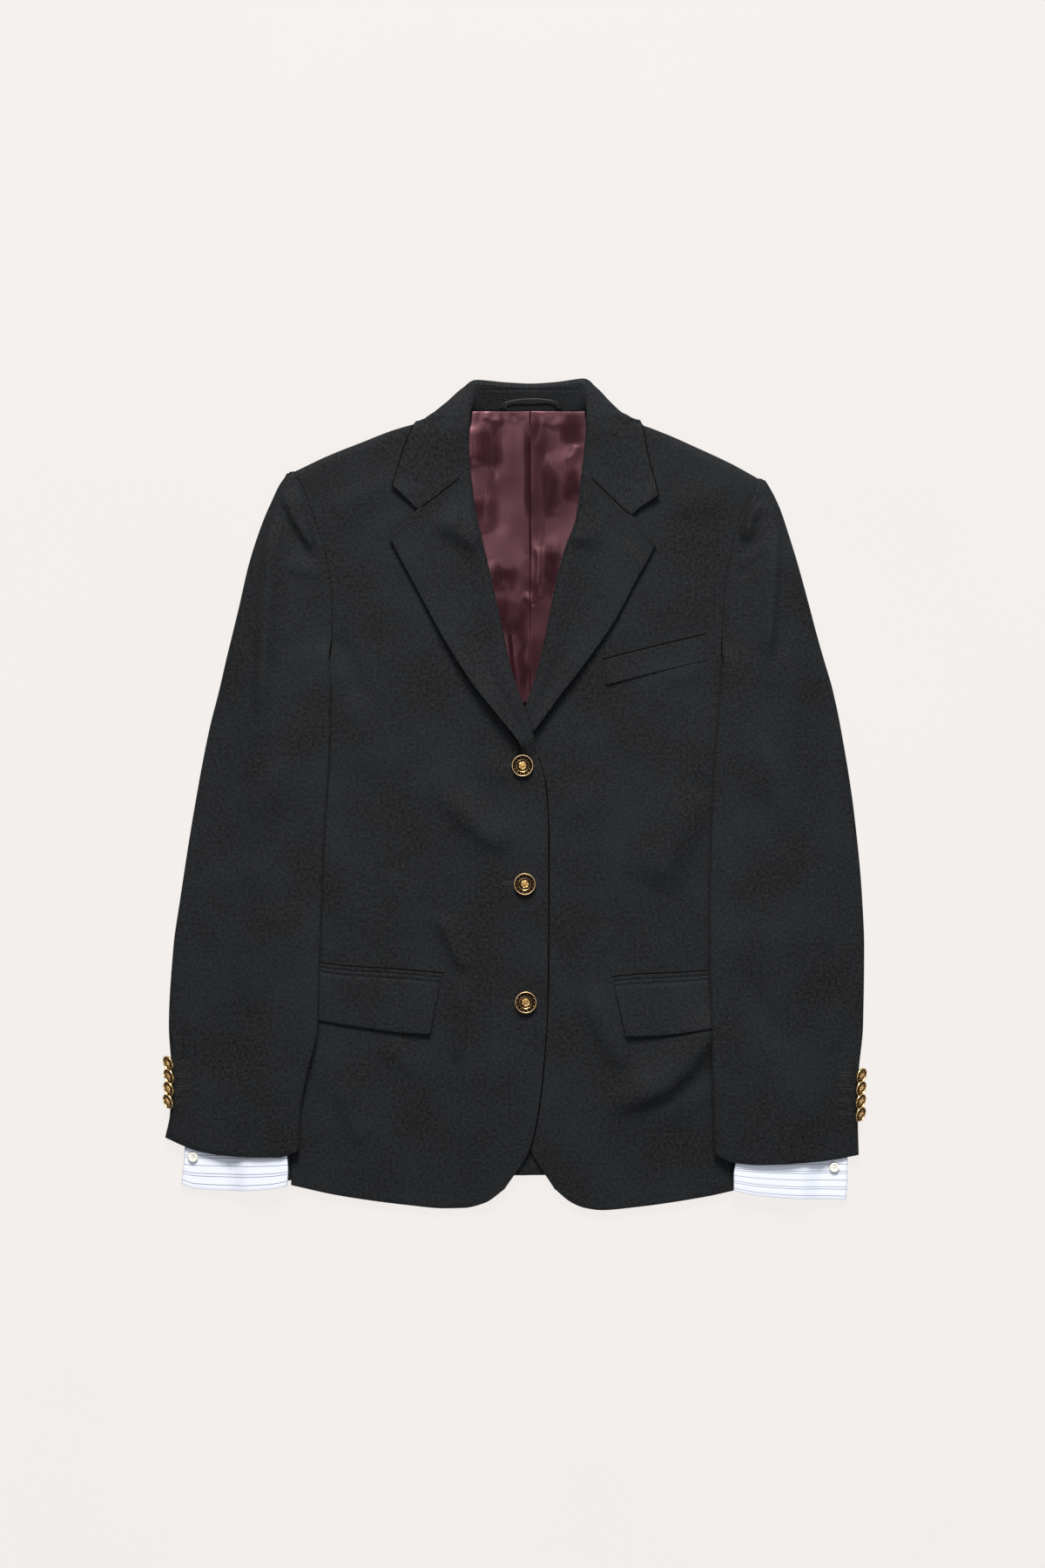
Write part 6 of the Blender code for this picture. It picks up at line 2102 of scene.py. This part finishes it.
@dataclass
class Buttonholes:
    """Worked buttonholes: two rows of close purl stitches round a slit, with a bar at the end; a black cord in the
    slit is painted shade.
    """

    finishes: Finishes
    stitches: NodeTool
    lapels: Lapels
    pitch: float = 0.62
    bite: float = 1.1
    yarn: float = 0.38
    gap: float = 1.1
    front_long: float = 18.6
    cuff_from_edge: Flat = (4.5, 16.0)
    lapel_hole: tuple[Flat, Flat] = ((101.6, 232.4), (116.6, 214.4))

    def worked(self, start: Flat, end: Flat, surface: Height) -> Mesh:
        """Work one buttonhole.

        Args:
            start: Where its slit starts.
            end: Where its slit ends in a bar.
            surface: Height of the cloth's outer face.

        Returns:
            The stitches' mesh.
        """
        a, b = Vector(start), Vector(end)
        aim = (b - a).normalized()
        side = Vector((-aim.y, aim.x)) * self.gap
        spots = [a + side + (b - a) * t for t in spread(0, 1, 12)]
        spots += [b + aim * self.gap * math.sin(t) + side * math.cos(t) for t in spread(0.4, math.pi - 0.4, 5)]
        spots += [b - side + (a - b) * t for t in spread(0, 1, 12)]
        path = [(p.x, p.y, surface(p.x, p.y) + self.yarn * 0.3) for p in spots]
        return sew(self.stitches, path, self.pitch, (self.bite, self.yarn, self.yarn * 1.2), 0.14, 5,
                   self.finishes.twist)

    def slit(self, start: Flat, end: Flat, surface: Height) -> Mesh:
        """Lay a black cord in the slit between the two rows as painted shade of the opening."""
        spots = zip(spread(start[0], end[0], 10), spread(start[1], end[1], 10))
        path = [(x, y, surface(x, y) + 0.02) for x, y in spots]
        # The black satin tape's material serves here as painted shade.
        return sew(self.stitches, path, 0.9, (0.5, 0.3, 1.6), 0.1, 7, self.finishes.tape)

    def build(self) -> None:
        """Work the buttonholes of the front, the lapel and the cuffs."""

        def front(x: float, y: float) -> float:
            """Outer face of the right front."""
            return front_right_z(x, y) + FRONT_WALL / 2

        def lapel(x: float, y: float) -> float:
            """Outer face of the left lapel near its peak."""
            return self.lapels.surface("left", x, y) + FRONT_WALL / 2

        holes = []
        for spot in FRONT_BUTTONS:
            start, end = (spot.x - self.front_long, spot.y + 0.3), (spot.x - 1.0, spot.y)
            # Each hole gets its painted shade cord in the slit.
            holes += [self.worked(end, start, front), self.slit(start, end, front)]
        joined("front_buttonholes_twist", holes, Slot.WOOL, [])
        joined("lapel_buttonhole_twist", [self.worked(*self.lapel_hole, lapel), self.slit(*self.lapel_hole, lapel)],
               Slot.WOOL, [])
        sleeves = Sleeves(self.finishes)
        for hand in HANDS:

            def cuff(x: float, y: float) -> float:
                """Outer face of the top sleeve."""
                return sleeves.top_z(hand, x, y) + CLOTH_WALL / 2

            holes = []
            for y in hand.cuff_buttons:
                start, end = (column(hand.sleeve, "outer", y) - hand.out * v for v in self.cuff_from_edge)
                holes.append(self.worked((start, y), (end, y + 0.8), cuff))
            joined("cuff_buttonholes_twist_" + hand.name, holes, Slot.WOOL, [])


@dataclass
class ShirtCuffs:
    """The striped shirt cuffs in the sleeve ends, stitched round, each with one pearl button."""

    finishes: Finishes
    rings: NodeTool
    stitches: NodeTool
    wall: float = SHIRT_WALL
    step: float = 3.0
    stitch_in: float = 5.5
    inset: float = 1.4
    bulge: float = 0.9

    def middle(self, hand: HandSide, x: float, y: float) -> float:
        """Height of the cuff's hollow."""
        base = sleeve_base(hand, x, max(y, hand.sleeve[-1].y))
        return base + CLOTH_WALL / 2 + SEAM_GAP + SHIRT_WALL / 2 + SHIRT_HALF

    def section(self, hand: HandSide, y: float) -> list[Point]:
        """Points round one section of a cuff's flat tube."""
        inner = column(hand.shirt, "inner", y) + hand.out * self.inset
        outer = column(hand.shirt, "outer", y) - hand.out * self.inset
        stops = past_fold(hand, y, inner, outer, (10, 18))
        ring = [(x, y, self.middle(hand, x, y) + SHIRT_HALF) for x in stops]
        for side, x in ((1, outer), (-1, inner)):
            for k in range(1, 4):
                turn = math.pi * (0.5 - k / 4)
                ring.append((x + side * hand.out * self.bulge * math.cos(turn), y,
                             self.middle(hand, x, y) + side * SHIRT_HALF * math.sin(turn)))
            if side == 1:
                ring += [(x, y, self.middle(hand, x, y) - SHIRT_HALF) for x in reversed(stops)]
        return ring

    def seam_stitches(self, hand: HandSide) -> Mesh:
        """The row of stitches round the cuff's edge."""
        spots = []
        for x in spread(hand.shirt[-1].outer - hand.out * 4, hand.shirt[-1].inner + hand.out * 4, 30):
            y = column(hand.shirt_hem, "y", x, key="x") + self.stitch_in
            spots.append((x, y, self.middle(hand, x, y) + SHIRT_HALF + SHIRT_WALL / 2 + 0.05))
        return sew(self.stitches, spots, 2.1, (0.34, 0.26, 1.7), 0.08, 11, self.finishes.cotton)

    def pearl(self, hand: HandSide) -> list[Mesh]:
        """The four-hole pearl button with its thread."""
        spot = hand.pearl
        rest = self.middle(hand, spot.x, spot.y) + SHIRT_HALF + SHIRT_WALL / 2 + SEAM_GAP
        body = turned_mesh(PEARL_PROFILE, 32, [self.finishes.pearl])
        thread = studs(self.rings, 4, 1.05, 1.5, (0.42, 0.42, 0.16), self.finishes.twist)
        for mesh in (body, thread):
            mesh.transform(Matrix.Translation(Vector((spot.x, spot.y, rest)) * MM))
        return [body, thread]

    def build(self) -> None:
        """Build and dress both cuffs with their stitches and buttons."""
        for hand in HANDS:
            low = hand.shirt[-1].y
            levels = denser([row.y for row in hand.shirt], self.step)
            rows = [hem_shift(self.section(hand, y), hand.shirt_hem, low, SHIRT_HEM_ZONE) for y in levels]
            cloth("shirt_cuff_poplin_" + hand.name, rows, self.wall, self.finishes.poplin, Slot.SHIRTING,
                  "shirt_cuff_" + hand.name, ["under_sleeve_cloth_" + hand.name], Held.FOLDED, ring=True, soft=0.3)
            joined("shirt_cuff_stitches_" + hand.name, [self.seam_stitches(hand)], Slot.SHIRTING, [])
            joined("pearl_button_shell_" + hand.name, self.pearl(hand), Slot.PEARL, ["pearl_button_" + hand.name])


# ---- studio


@dataclass
class Studio:
    """Plain pale floor, large soft lights and a camera straight above."""

    view_x: float = 7.6
    view_y: float = 9.6
    tall: float = 1440.0
    lens: float = 85.0
    sensor: float = 36.0

    def floor(self) -> None:
        """Lay the paper that the jacket lies on."""
        mesh = bpy.data.meshes.new("studio_floor")
        half, drop = 4.0, -0.0004
        mesh.from_pydata([(-half, -half, drop), (half, -half, drop), (half, half, drop), (-half, half, drop)], [],
                         [(0, 1, 2, 3)])
        mesh.materials.append(StudioPaper().make())
        place_in_scene("studio_floor", mesh)

    def light(self, name: str, place: Point, size: float, watts: float, tint: str) -> None:
        """Hang one soft box that looks at the jacket.

        Args:
            name: Its name.
            place: Where it hangs, in metres.
            size: Length of its side in metres.
            watts: Its power.
            tint: Its colour.
        """
        lamp = bpy.data.lights.new(name, "AREA")
        lamp.energy, lamp.size, lamp.shape = watts, size, "SQUARE"
        lamp.color = linear(tint)[:3]
        holder = place_in_scene(name, lamp)
        holder.location = place
        holder.rotation_euler = (-Vector(place)).to_track_quat("-Z", "Y").to_euler()

    def build(self) -> None:
        """Set up floor, lights, surroundings and camera."""
        scene = bpy.context.scene
        scene.view_settings.view_transform = "Standard"
        self.floor()
        self.light("soft_key", (-0.12, 3.55, 2.65), 1.6, 398.0, "fffaf5")
        self.light("soft_over", (-0.4, 1.1, 3.5), 1.1, 21.0, "fcfdff")
        self.light("soft_fill", (1.4, -2.0, 2.9), 1.8, 46.0, "f8fbff")
        world = bpy.data.worlds.new("soft_room")
        world.use_nodes = True
        feed(world.node_tree, world.node_tree.nodes["Background"], {"Color": linear("f4f4f6"), "Strength": 0.1})
        scene.world = world
        data = bpy.data.cameras.new("view_from_above")
        data.lens, data.sensor_width, data.sensor_fit = self.lens, self.sensor, "AUTO"
        data.clip_end = 20.0
        camera = place_in_scene("view_from_above", data)
        high = self.tall * MM / 2 * self.lens / (self.sensor / 2)
        camera.location = (self.view_x * MM, self.view_y * MM, high)
        scene.camera = camera


def main() -> None:
    """Build every sub-assembly in order, and the studio round it."""
    finishes = Finishes.make()
    rings, stitches = ring_tool(), stitch_tool()
    lapels, collar = Lapels(finishes), Collar(finishes)
    for part in (
        Studio(), JacketBack(finishes), SidePanels(finishes), BackLining(finishes), Fronts(finishes), lapels,
        collar, HangerLoop(finishes), Sleeves(finishes), Pockets(finishes), FrontButtons(finishes, rings),
        CuffButtons(finishes, rings), Buttonholes(finishes, stitches, lapels),
        PaintedShadowLines(finishes, stitches, lapels, collar), ShirtCuffs(finishes, rings, stitches),
    ):
        part.build()
        LOG.info("%s done", type(part).__name__)


if __name__ == "__main__":
    main()
